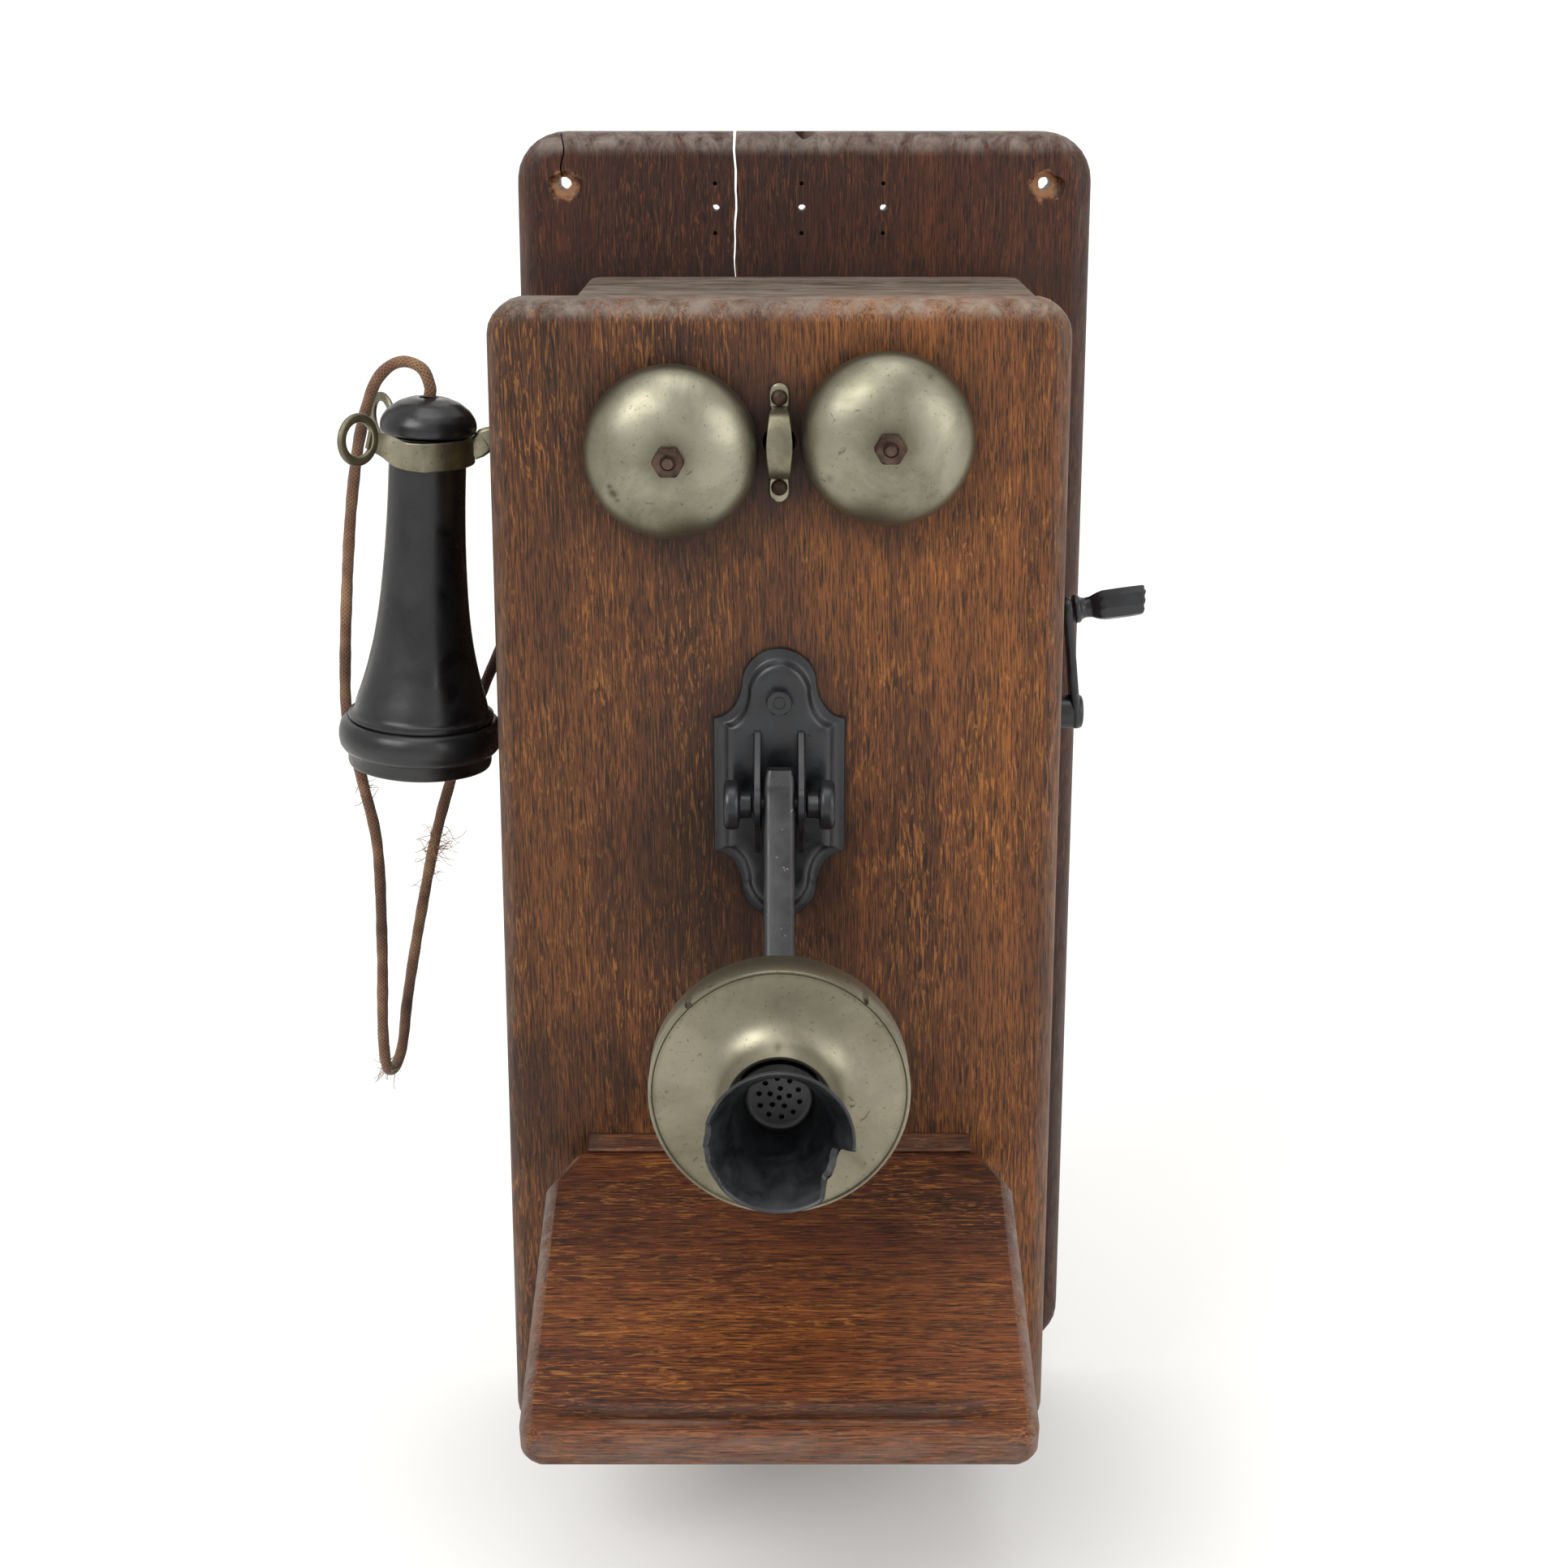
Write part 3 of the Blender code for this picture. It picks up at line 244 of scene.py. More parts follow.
def roundSection(width, depth, radius, steps=3):
    # a rectangle with round corners, as points about its centre
    x, y = width / 2 - radius, depth / 2 - radius
    corners = [(x, y, 0), (-x, y, 90), (-x, -y, 180), (x, -y, 270)]
    turn = np.radians(np.linspace(0, 90, steps + 1))
    rings = [[cx, cy] + radius * np.stack([np.cos(turn + np.radians(s)), np.sin(turn + np.radians(s))],
        1) for cx, cy, s in corners]
    return np.vstack(rings)


def carried(path, section, across, sizes=None, closed=False):
    # a flat section carried along a path: its x lies along across, and its y square to path and across
    path, section = np.asarray(path, float), np.asarray(section, float)
    if closed:
        ahead = unit(np.roll(path, -1, axis=0) - np.roll(path, 1, axis=0))
    else:
        ahead = unit(np.gradient(path, axis=0))
    across = np.broadcast_to(unit(across), path.shape)
    across = unit(across - (across * ahead).sum(1, keepdims=True) * ahead)
    normal = np.cross(ahead, across)
    sizes = np.ones((len(path), 2)) if sizes is None else np.asarray(sizes, float)
    grid = path[:, None] + (section[None, :, 0] * sizes[:, :1])[..., None] * across[:, None]
    grid = grid + (section[None, :, 1] * sizes[:, 1:])[..., None] * normal[:, None]
    return gridParts(grid, True, closed, not closed, not closed)


def outlineNormals(outline):
    ahead = unit(np.roll(outline, -1, axis=0) - np.roll(outline, 1, axis=0))
    return np.stack([ahead[:, 1], -ahead[:, 0]], axis=1)


def slabRings(outline, levels, inner, rings=24):
    # rings of a board, from the middle of its back to the middle of its front; each level is
    # (how far inside the outline, height), and the flat faces run on in to a line down the middle
    normal = outlineNormals(outline)
    low, high = outline.min(0), outline.max(0)
    middle, half = (low + high) / 2, (high - low) / 2
    spare = np.maximum(half - half.min(), 0) * inner
    core = middle + np.clip(outline - middle, -spare, spare)
    share = np.linspace(0, 1, rings + 1)[:, None, None]

    def level(inset, height):
        ring = outline - normal * inset
        return np.concatenate([ring, np.full((len(ring), 1), height)], axis=1)

    edge = np.stack([level(*one) for one in levels])
    backCore = np.concatenate([core, np.full((len(core), 1), levels[0][1])], axis=1)
    frontCore = np.concatenate([core, np.full((len(core), 1), levels[-1][1])], axis=1)
    back = backCore + (edge[0] - backCore) * share[:-1]
    front = edge[-1] + (frontCore - edge[-1]) * share[1:]
    return np.concatenate([back, edge, front])


def roundedBoard(width, height, radius, count=360):
    return evenly(roundSection(width, height, radius, 10), count, closed=True)


def edgeLevels(thick, backRound, frontRound, steps=6):
    # a quarter circle at the back edge, the straight side, and a quarter circle at the front edge
    t = np.radians(np.linspace(0, 90, steps + 1))
    back = [(backRound * (1 - np.sin(a)), backRound * (1 - np.cos(a))) for a in t]
    front = [(frontRound * (1 - np.cos(a)), thick - frontRound * (1 - np.sin(a))) for a in t]
    extra = [(frontRound + 1.5 * mm, thick), (frontRound + 4 * mm, thick)]
    return [(backRound + 2 * mm, 0)] + back + front + extra


def asBoard(rings, origin, acrossAxis, alongAxis, outAxis):
    # puts a slab's (x, y, height) points along three directions from an origin
    axes = np.stack([acrossAxis, alongAxis, outAxis]).astype(float)
    return np.asarray(origin) + rings @ axes


def hollow(value, centre, size):  # 1 at the centre, falling off smoothly with distance in sizes
    return np.exp(-((value - centre) / size) ** 2)


# materials

def linear(hexColour):  # sRGB hex to the linear values that a shader takes
    value = np.array([int(hexColour[i:i + 2], 16) for i in (0, 2, 4)]) / 255
    value = np.where(value <= 0.04045, value / 12.92, ((value + 0.055) / 1.055) ** 2.4)
    return (*value.tolist(), 1.0)


def addNode(tree, kind, inputs=None, stops=None, **settings):
    # one node with its settings, its input values or links, and a ramp's stops
    node = tree.nodes.new("ShaderNode" + kind)
    for name, value in settings.items():
        setattr(node, name, value)
    for key, value in (inputs or {}).items():
        if isinstance(value, bpy.types.NodeSocket):
            tree.links.new(value, node.inputs[key])
        else:
            node.inputs[key].default_value = value
    if stops:
        ramp = node.color_ramp
        while len(ramp.elements) < len(stops):
            ramp.elements.new(0.5)
        for element, (at, colour) in zip(ramp.elements, stops):
            element.position = at
            element.color = linear(colour) if isinstance(colour, str) else (colour, colour, colour, 1)
    return node


def newMaterial(name, **values):
    material = bpy.data.materials.new(name)
    material.use_nodes = True
    shader = material.node_tree.nodes["Principled BSDF"]
    for key, value in values.items():
        shader.inputs[key.replace("_", " ")].default_value = value
    return material, material.node_tree, shader


def blended(tree, mode, share, first, second):
    return addNode(tree, "Mix", {"Factor": share, 6: first, 7: second}, data_type="RGBA",
        blend_type=mode).outputs[2]


# quarter-sawn oak, stained and varnished long ago: ribbons of ray fleck across fine dark pores,
# a soft shine that has gone patchy, grey dust where hands and cloths wore the round edges, a painted grey sheen on
# faces that look up, and painted shade in creases and grooves
oakTones = {
    "door": {"dark": "38200f", "mid": "5a3318", "light": "7d4b20", "fleck": "9c6630"},
    "shelf": {"dark": "3c1d0d", "mid": "602f14", "light": "85491c", "fleck": "a2682d"},
    "backboard": {"dark": "28130a", "mid": "421f10", "light": "5a2e17", "fleck": "6c3f1f"},
    "box": {"dark": "341d10", "mid": "4f301b", "light": "694325", "fleck": "7d5532"},
    # the box top's tones are greyer and lighter than the other boards: a painted sheen of the light from above
    "top": {"dark": "46362b", "mid": "5f4b3c", "light": "75604d", "fleck": "857058"},
}


def quarterSawnOak(name, grain, tone, slant=0.0):
    material, tree, shader = newMaterial(name, IOR=1.45, Specular_IOR_Level=0.32, Coat_Weight=0.06,
        Coat_Roughness=0.35)
    tones = oakTones[tone]
    place = addNode(tree, "TexCoord").outputs["Object"]
    turn = {"Z": (0, slant, 0), "X": (0, math.pi / 2 + slant, 0), "Y": (math.pi / 2, 0, slant)}[grain]
    place = addNode(tree, "Mapping", {"Vector": place, "Rotation": turn}).outputs[0]

    def stretched(across, along, detail, distortion=0.0, rough=0.5):  # sizes in mm, across and along the grain
        scaled = addNode(tree, "Mapping", {"Vector": place,
            "Scale": (1000 / across, 1000 / across, 1000 / along)})
        noise = addNode(tree, "TexNoise", {"Vector": scaled.outputs[0], "Scale": 1.0, "Detail": detail,
            "Roughness": rough, "Distortion": distortion})
        return noise.outputs["Fac"]

    broad = stretched(60, 420, 3)
    bands = stretched(5.0, 260, 4, 0.2)
    pores = stretched(0.62, 11, 4, 0.2, 0.7)
    fine = stretched(0.42, 46, 2)
    flecks = stretched(2.0, 17, 4, 2.2, 0.66)
    patches = stretched(34, 80, 3, 0.4)
    colour = addNode(tree, "ValToRGB", {"Fac": broad},
        [(0.3, tones["dark"]), (0.5, tones["mid"]), (0.72, tones["light"])]).outputs[0]
    bandShade = addNode(tree, "ValToRGB", {"Fac": bands}, [(0.32, 0.62), (0.68, 1.18)]).outputs[0]
    colour = blended(tree, "MULTIPLY", 0.85, colour, bandShade)
    where = addNode(tree, "ValToRGB", {"Fac": patches}, [(0.36, 0.15), (0.62, 1.0)]).outputs[0]
    fleckShape = addNode(tree, "ValToRGB", {"Fac": flecks}, [(0.53, 0.0), (0.60, 1.0)]).outputs[0]
    fleckShare = addNode(tree, "Math", {0: fleckShape, 1: where}, operation="MULTIPLY").outputs[0]
    fleckShare = addNode(tree, "Math", {0: fleckShare, 1: 0.62}, operation="MULTIPLY").outputs[0]
    colour = blended(tree, "MIX", fleckShare, colour, linear(tones["fleck"]))
    poreShade = addNode(tree, "ValToRGB", {"Fac": pores}, [(0.40, 0.08), (0.48, 0.62), (0.56, 1.0)]).outputs[0]
    poreShare = addNode(tree, "Math", {0: fleckShare, 1: -0.7, 2: 0.92}, operation="MULTIPLY_ADD").outputs[0]
    colour = blended(tree, "MULTIPLY", poreShare, colour, poreShade)
    fineShade = addNode(tree, "ValToRGB", {"Fac": fine}, [(0.34, 0.52), (0.56, 1.1)]).outputs[0]
    colour = blended(tree, "MULTIPLY", 0.75, colour, fineShade)
    # painted shade: marked points are darkened towards near-black brown, in creases, grooves and faces that look
    # down
    shadeAndDirt = addNode(tree, "Attribute", attribute_name="grime").outputs["Fac"]
    shadeAndDirtShare = addNode(tree, "Math", {0: shadeAndDirt, 1: 0.86}, operation="MULTIPLY").outputs[0]
    colour = blended(tree, "MIX", shadeAndDirtShare, colour, linear("1c110b"))
    # partly wear, partly painted sheen: marked points are greyed towards 7a7067, on rubbed round edges and on
    # upward faces lit from above
    wear = addNode(tree, "Attribute", attribute_name="wear").outputs["Fac"]
    smear = stretched(7, 24, 4, 0.6, 0.7)
    smearShape = addNode(tree, "ValToRGB", {"Fac": smear}, [(0.34, 0.0), (0.66, 0.85)]).outputs[0]
    wearShare = addNode(tree, "Math", {0: wear, 1: smearShape}, operation="MULTIPLY").outputs[0]
    colour = blended(tree, "MIX", wearShare, colour, linear("7a7067"))
    tree.links.new(colour, shader.inputs["Base Color"])
    rough = addNode(tree, "MapRange", {"Value": patches, 1: 0.3, 2: 0.7, 3: 0.42, 4: 0.58}).outputs[0]
    rough = addNode(tree, "Math", {0: wearShare, 1: 0.3, 2: rough}, operation="MULTIPLY_ADD",
        use_clamp=True).outputs[0]
    tree.links.new(rough, shader.inputs["Roughness"])
    height = addNode(tree, "Math", {0: pores, 1: fine}, operation="ADD").outputs[0]
    bump = addNode(tree, "Bump", {"Height": height, "Strength": 0.35, "Distance": 0.0003})
    tree.links.new(bump.outputs[0], shader.inputs["Normal"])
    return material


def wornMetal(name, clean, dull, spot, roughness=0.36, grain=26.0):
    # plated or bare metal gone dull: cloudy tarnish and small dark spots
    material, tree, shader = newMaterial(name, Metallic=1.0)
    place = addNode(tree, "TexCoord").outputs["Object"]
    cloud = addNode(tree, "TexNoise", {"Vector": place, "Scale": 1000 / grain, "Detail": 6.0,
        "Roughness": 0.62, "Distortion": 0.4}).outputs["Fac"]
    speck = addNode(tree, "TexNoise", {"Vector": place, "Scale": 1000 / 1.3, "Detail": 3.0,
        "Roughness": 0.6}).outputs["Fac"]
    blot = addNode(tree, "TexNoise", {"Vector": place, "Scale": 1000 / 5.0, "Detail": 3.0, "Roughness": 0.5,
        "Distortion": 0.8}).outputs["Fac"]
    colour = addNode(tree, "ValToRGB", {"Fac": cloud}, [(0.34, dull), (0.62, clean)]).outputs[0]
    speckShare = addNode(tree, "ValToRGB", {"Fac": speck}, [(0.62, 0.0), (0.74, 0.62)]).outputs[0]
    blotShare = addNode(tree, "ValToRGB", {"Fac": blot}, [(0.70, 0.0), (0.76, 0.6)]).outputs[0]
    marks = addNode(tree, "Math", {0: speckShare, 1: blotShare}, operation="MAXIMUM").outputs[0]
    colour = blended(tree, "MIX", marks, colour, linear(spot))
    # painted shade and tarnish: marked points are darkened towards the spot colour, at the bells' centres and rims
    # and in the transmitter face's creases, and on the bells' tarnish spots
    grime = addNode(tree, "Attribute", attribute_name="grime").outputs["Fac"]
    colour = blended(tree, "MIX", grime, colour, linear(spot))
    tree.links.new(colour, shader.inputs["Base Color"])
    rough = addNode(tree, "MapRange", {"Value": cloud, 1: 0.3, 2: 0.7, 3: roughness + 0.1,
        4: roughness - 0.05}).outputs[0]
    rough = addNode(tree, "Math", {0: marks, 1: 0.25, 2: rough}, operation="MULTIPLY_ADD",
        use_clamp=True).outputs[0]
    tree.links.new(rough, shader.inputs["Roughness"])
    height = addNode(tree, "Math", {0: speck, 1: -0.5, 2: cloud}, operation="MULTIPLY_ADD").outputs[0]
    bump = addNode(tree, "Bump", {"Height": height, "Strength": 0.12, "Distance": 0.0002})
    tree.links.new(bump.outputs[0], shader.inputs["Normal"])
    return material


def blackCoat(name, base, dust, chip, roughness, grain=9.0, chips=0.73):
    # a black skin: dusty in patches, and rubbed or chipped through in small places
    material, tree, shader = newMaterial(name, IOR=1.52)
    place = addNode(tree, "TexCoord").outputs["Object"]
    cloud = addNode(tree, "TexNoise", {"Vector": place, "Scale": 1000 / grain, "Detail": 6.0,
        "Roughness": 0.6, "Distortion": 0.5}).outputs["Fac"]
    grit = addNode(tree, "TexNoise", {"Vector": place, "Scale": 1000 / 0.8, "Detail": 3.0,
        "Roughness": 0.55}).outputs["Fac"]
    flake = addNode(tree, "TexNoise", {"Vector": place, "Scale": 1000 / 3.2, "Detail": 4.0, "Roughness": 0.6,
        "Distortion": 0.6}).outputs["Fac"]
    dustShare = addNode(tree, "ValToRGB", {"Fac": cloud}, [(0.4, 0.0), (0.7, 0.62)]).outputs[0]
    colour = blended(tree, "MIX", dustShare, linear(base), linear(dust))
    chipShare = addNode(tree, "ValToRGB", {"Fac": flake}, [(chips, 0.0), (chips + 0.02, 1.0)]).outputs[0]
    colour = blended(tree, "MIX", chipShare, colour, linear(chip))
    tree.links.new(colour, shader.inputs["Base Color"])
    rough = addNode(tree, "MapRange", {"Value": cloud, 1: 0.3, 2: 0.7, 3: roughness - 0.06,
        4: roughness + 0.16}).outputs[0]
    tree.links.new(rough, shader.inputs["Roughness"])
    height = addNode(tree, "Math", {0: chipShare, 1: -1.5, 2: grit}, operation="MULTIPLY_ADD").outputs[0]
    bump = addNode(tree, "Bump", {"Height": height, "Strength": 0.16, "Distance": 0.0002})
    tree.links.new(bump.outputs[0], shader.inputs["Normal"])
    return material


def braidedCotton(name):
    # two sets of brown threads crossing on the slant, about 0.9 mm apart, faded on the outside
    material, tree, shader = newMaterial(name, IOR=1.45, Sheen_Weight=0.25, Sheen_Roughness=0.5)
    place = addNode(tree, "UVMap", uv_map="surface").outputs[0]
    part = addNode(tree, "SeparateXYZ", {"Vector": place})
    waves = []
    for sense in (1.0, -1.0):
        turns = addNode(tree, "Math", {0: part.outputs[0], 1: 8.0 * sense}, operation="MULTIPLY").outputs[0]
        phase = addNode(tree, "Math", {0: part.outputs[1], 1: 1000 / 1.8, 2: turns},
            operation="MULTIPLY_ADD").outputs[0]
        angle = addNode(tree, "Math", {0: phase, 1: 2 * math.pi}, operation="MULTIPLY").outputs[0]
        waves.append(addNode(tree, "Math", {0: angle}, operation="SINE").outputs[0])
    weave = addNode(tree, "Math", {0: waves[0], 1: waves[1]}, operation="MAXIMUM").outputs[0]
    tone = addNode(tree, "TexCoord").outputs["Object"]
    fade = addNode(tree, "TexNoise", {"Vector": tone, "Scale": 1000 / 22, "Detail": 4.0,
        "Roughness": 0.6}).outputs["Fac"]
    colour = addNode(tree, "ValToRGB", {"Fac": fade},
        [(0.32, "4a2e1f"), (0.5, "6c4a33"), (0.7, "92704f")]).outputs[0]
    shade = addNode(tree, "MapRange", {"Value": weave, 1: -0.4, 2: 1.0, 3: 0.5, 4: 1.1}).outputs[0]
    colour = blended(tree, "MULTIPLY", 0.9, colour, shade)
    tree.links.new(colour, shader.inputs["Base Color"])
    shader.inputs["Roughness"].default_value = 0.88
    bump = addNode(tree, "Bump", {"Height": weave, "Strength": 0.6, "Distance": 0.0003})
    tree.links.new(bump.outputs[0], shader.inputs["Normal"])
    return material


def plainStock(name, first, second, grain, roughness, bumpSize=0.0002, stretch=(1, 1, 1)):
    # card, silk-covered wire and soft wood: two tones in streaks of a real size
    material, tree, shader = newMaterial(name, IOR=1.48, Roughness=roughness)
    place = addNode(tree, "TexCoord").outputs["Object"]
    scaled = addNode(tree, "Mapping", {"Vector": place,
        "Scale": tuple(1000 / (grain * s) for s in stretch)}).outputs[0]
    noise = addNode(tree, "TexNoise", {"Vector": scaled, "Scale": 1.0, "Detail": 4.0,
        "Roughness": 0.6}).outputs["Fac"]
    colour = addNode(tree, "ValToRGB", {"Fac": noise}, [(0.36, first), (0.64, second)]).outputs[0]
    tree.links.new(colour, shader.inputs["Base Color"])
    bump = addNode(tree, "Bump", {"Height": noise, "Strength": 0.3, "Distance": bumpSize})
    tree.links.new(bump.outputs[0], shader.inputs["Normal"])
    return material


doorOak = quarterSawnOak("quarterSawnOakDoor", "Z", "door", 0.02)
shelfOak = quarterSawnOak("quarterSawnOakShelf", "X", "shelf", 0.01)
backOak = quarterSawnOak("quarterSawnOakBackboard", "Z", "backboard")
sideOak = quarterSawnOak("quarterSawnOakSides", "Z", "box")
# the box top in greyed, lighter tones: painted sheen from above
sheenTopOak = quarterSawnOak("quarterSawnOakTopPaintedSheen", "X", "top")
nickel = wornMetal("dullNickelPlate", "8f8a76", "625d4c", "332d22", 0.4)
iron = wornMetal("browningIron", "5c5347", "3b332c", "231b16", 0.5, 12)
steel = wornMetal("plainSteel", "a5a5a2", "7d7d7b", "4a4239", 0.34, 18)
brass = wornMetal("dullBrass", "b59a5c", "8d7440", "4d3b1f", 0.36, 18)
enamel = blackCoat("bakedBlackEnamel", "0e0f12", "24272c", "5c574d", 0.32, 9.0, 0.76)
hardRubber = blackCoat("wornHardRubber", "0a0a0b", "1c1d1f", "3a3733", 0.27, 16.0, 0.82)
braid = braidedCotton("brownCottonBraid")
silkWire = plainStock("greenSilkWire", "1f4a30", "3f7a52", 0.6, 0.6, 0.0003, (40, 40, 1))
card = plainStock("cellCard", "8d7350", "a98d63", 3.0, 0.85)
pine = plainStock("plainPine", "a07a4c", "c19a68", 3.0, 0.7, 0.0002, (30, 1, 1))
bySlot = {"oak": sideOak, "pine": pine, "nickel": nickel, "black_enamel": enamel, "hard_rubber": hardRubber,
    "brass": brass}
bySlot.update({"steel": steel, "iron": iron, "silk_wire": silkWire, "card": card, "braid": braid})
for node, obj in nodes.items():
    obj.data.materials.clear()
    obj.data.materials.append(bySlot[slotOf[node]])
print("materials made")

# the receiver's cord: a limp tube through the same stops as its CAD solid, knitted round with a braid
cordFacts = {"diameter": 0.0046, "sides": 20, "rings": 900}
cordStops = [(-0.1445, -0.1160, 0.1843), (-0.1442, -0.1159, 0.1880), (-0.1470, -0.1156, 0.1947),
    (-0.1537, -0.1152, 0.1975),
             (-0.1604, -0.1145, 0.1950), (-0.1661, -0.1134, 0.1880), (-0.1712, -0.1115, 0.1740),
             (-0.1755, -0.1080, 0.1560),
             (-0.1800, -0.1040, 0.1260), (-0.1845, -0.0990, 0.0780), (-0.1855, -0.0950, 0.0500),
             (-0.1806, -0.0945, 0.0230),
             (-0.1756, -0.0950, -0.0050), (-0.1752, -0.0965, -0.0480), (-0.1760, -0.0981, -0.0800),
             (-0.1758, -0.0978, -0.0955),
             (-0.1752, -0.0945, -0.1032), (-0.1740, -0.0873, -0.1062), (-0.1724, -0.0801, -0.1032),
             (-0.1710, -0.0768, -0.0955),
             (-0.1690, -0.0767, -0.0800), (-0.1630, -0.0785, -0.0480), (-0.1545, -0.0790, -0.0080),
             (-0.1465, -0.0795, 0.0200),
             (-0.1380, -0.0805, 0.0440), (-0.1270, -0.0830, 0.0700), (-0.1130, -0.0865, 0.0980),
             (-0.1020, -0.0878, 0.1125),
             (-0.0925, -0.0880, 0.1166), (-0.0800, -0.0880, 0.1170)]


def cordPiece():
    path = smoothLine(cordStops, cordFacts["rings"])
    along = np.linspace(0, 1, len(path))
    length = np.linalg.norm(np.diff(path, axis=0), axis=1).sum()
    # the radius swells and thins a little along the cord, as old cotton does
    radius = cordFacts["diameter"] / 2 * (1 + 0.03 * np.sin(along * 157) + 0.02 * np.sin(along * 411 + 1))
    points, faces = tubeParts(path, radius, cordFacts["sides"])
    turn = np.tile(np.linspace(0, 1, cordFacts["sides"], endpoint=False), len(path))
    uv = np.stack([turn, np.repeat(along * length, cordFacts["sides"])], axis=1)
    cord = makePiece("cordBraid", [(points, faces)], braid, None, ["receiver_cord"], uv)
    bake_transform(cord)
    return path, length


cordPath, cordLength = cordPiece()
print("cord made, length", round(cordLength, 3))

# where the marks of age lie: each is worked out from the finished corner points, in metres

def pointsOf(piece):
    flat = np.empty(len(piece.data.vertices) * 3, np.float32)
    piece.data.vertices.foreach_get("co", flat)
    return flat.reshape(-1, 3).astype(float)


def markPiece(piece, **marks):
    for name, values in marks.items():
        layer = piece.data.attributes.get(name) or piece.data.attributes.new(name, "FLOAT", "POINT")
        layer.data.foreach_set("value", np.clip(values, 0, 1).astype(np.float32))


def ramp(value, low, high):  # 0 below low, 1 above high, and a smooth rise between them
    t = np.clip((value - low) / (high - low), 0, 1)
    return t * t * (3 - 2 * t)


def boardPiece(name, low, high, node, body, material, corner, backRound, frontRound, facing="front", cut=(),
        crossing=False):
    # a board between two corners: its outline lies square to the way it faces
    low, high = np.array(low), np.array(high)
    size, middle = high - low, (low + high) / 2
    axes = {"front": ((1, 0, 0), (0, 0, 1), (0, -1, 0)), "up": ((1, 0, 0), (0, -1, 0), (0, 0, 1)),
            "left": ((0, 1, 0), (0, 0, 1), (-1, 0, 0)), "right": ((0, -1, 0), (0, 0, 1), (1, 0, 0))}[facing]
    across, along, out = (np.array(a, float) for a in axes)
    width, height, thick = (abs(float(size @ a)) for a in (across, along, out))
    rings = slabRings(roundedBoard(width, height, corner), edgeLevels(thick, backRound, frontRound), 0.97)
    grid = asBoard(rings, middle - out * thick / 2, across, along, out)
    piece = makePiece(name, [gridParts(grid, True)], material, body, [node])
    return cutWith(piece, list(cut), name + "Cutter", crossing) if cut else piece


def boreParts(start, end, radius, sides=32, rough=0.0):
    # a round bore whose radius wanders a little where the wood has crumbled
    path = np.linspace(start, end, 6)
    _, side, up = tubeFrames(path)
    turn = np.linspace(0, 2 * np.pi, sides, endpoint=False)
    uneven = radius * (1 + rough * (np.sin(3 * turn + 1) + 0.6 * np.sin(5 * turn) + 0.4 * np.sin(8 * turn + 2)))
    grid = path[:, None] + uneven[None, :, None] * (np.cos(turn)[None, :, None] * side[:,
        None] + np.sin(turn)[None, :, None] * up[:, None])
    return gridParts(grid, True, False, True, True)


def wedgeParts(outline, start, end):
    # a flat outline in X and Z carried from one depth to another
    outline = np.asarray(outline, float)
    grid = np.stack([np.stack([outline[:, 0], np.full(len(outline), y), outline[:, 1]], 1) for y in (start,
        end)])
    return gridParts(grid, True, False, True, True)


# backboard: a broad board, split from its top edge, with worn screw holes and rows of small ones
backboardFacts = {"corner": 0.020, "round": 0.0085, "screwHoles": (-0.100, 0.100), "screwZ": 0.259,
    "screwRadius": 0.00275,
                  "columns": (-0.037, -0.001, 0.033), "columnZ": 0.249, "splitX": -0.0290, "splitFoot": 0.190,
                  "notch": (-0.005, 0.006)}


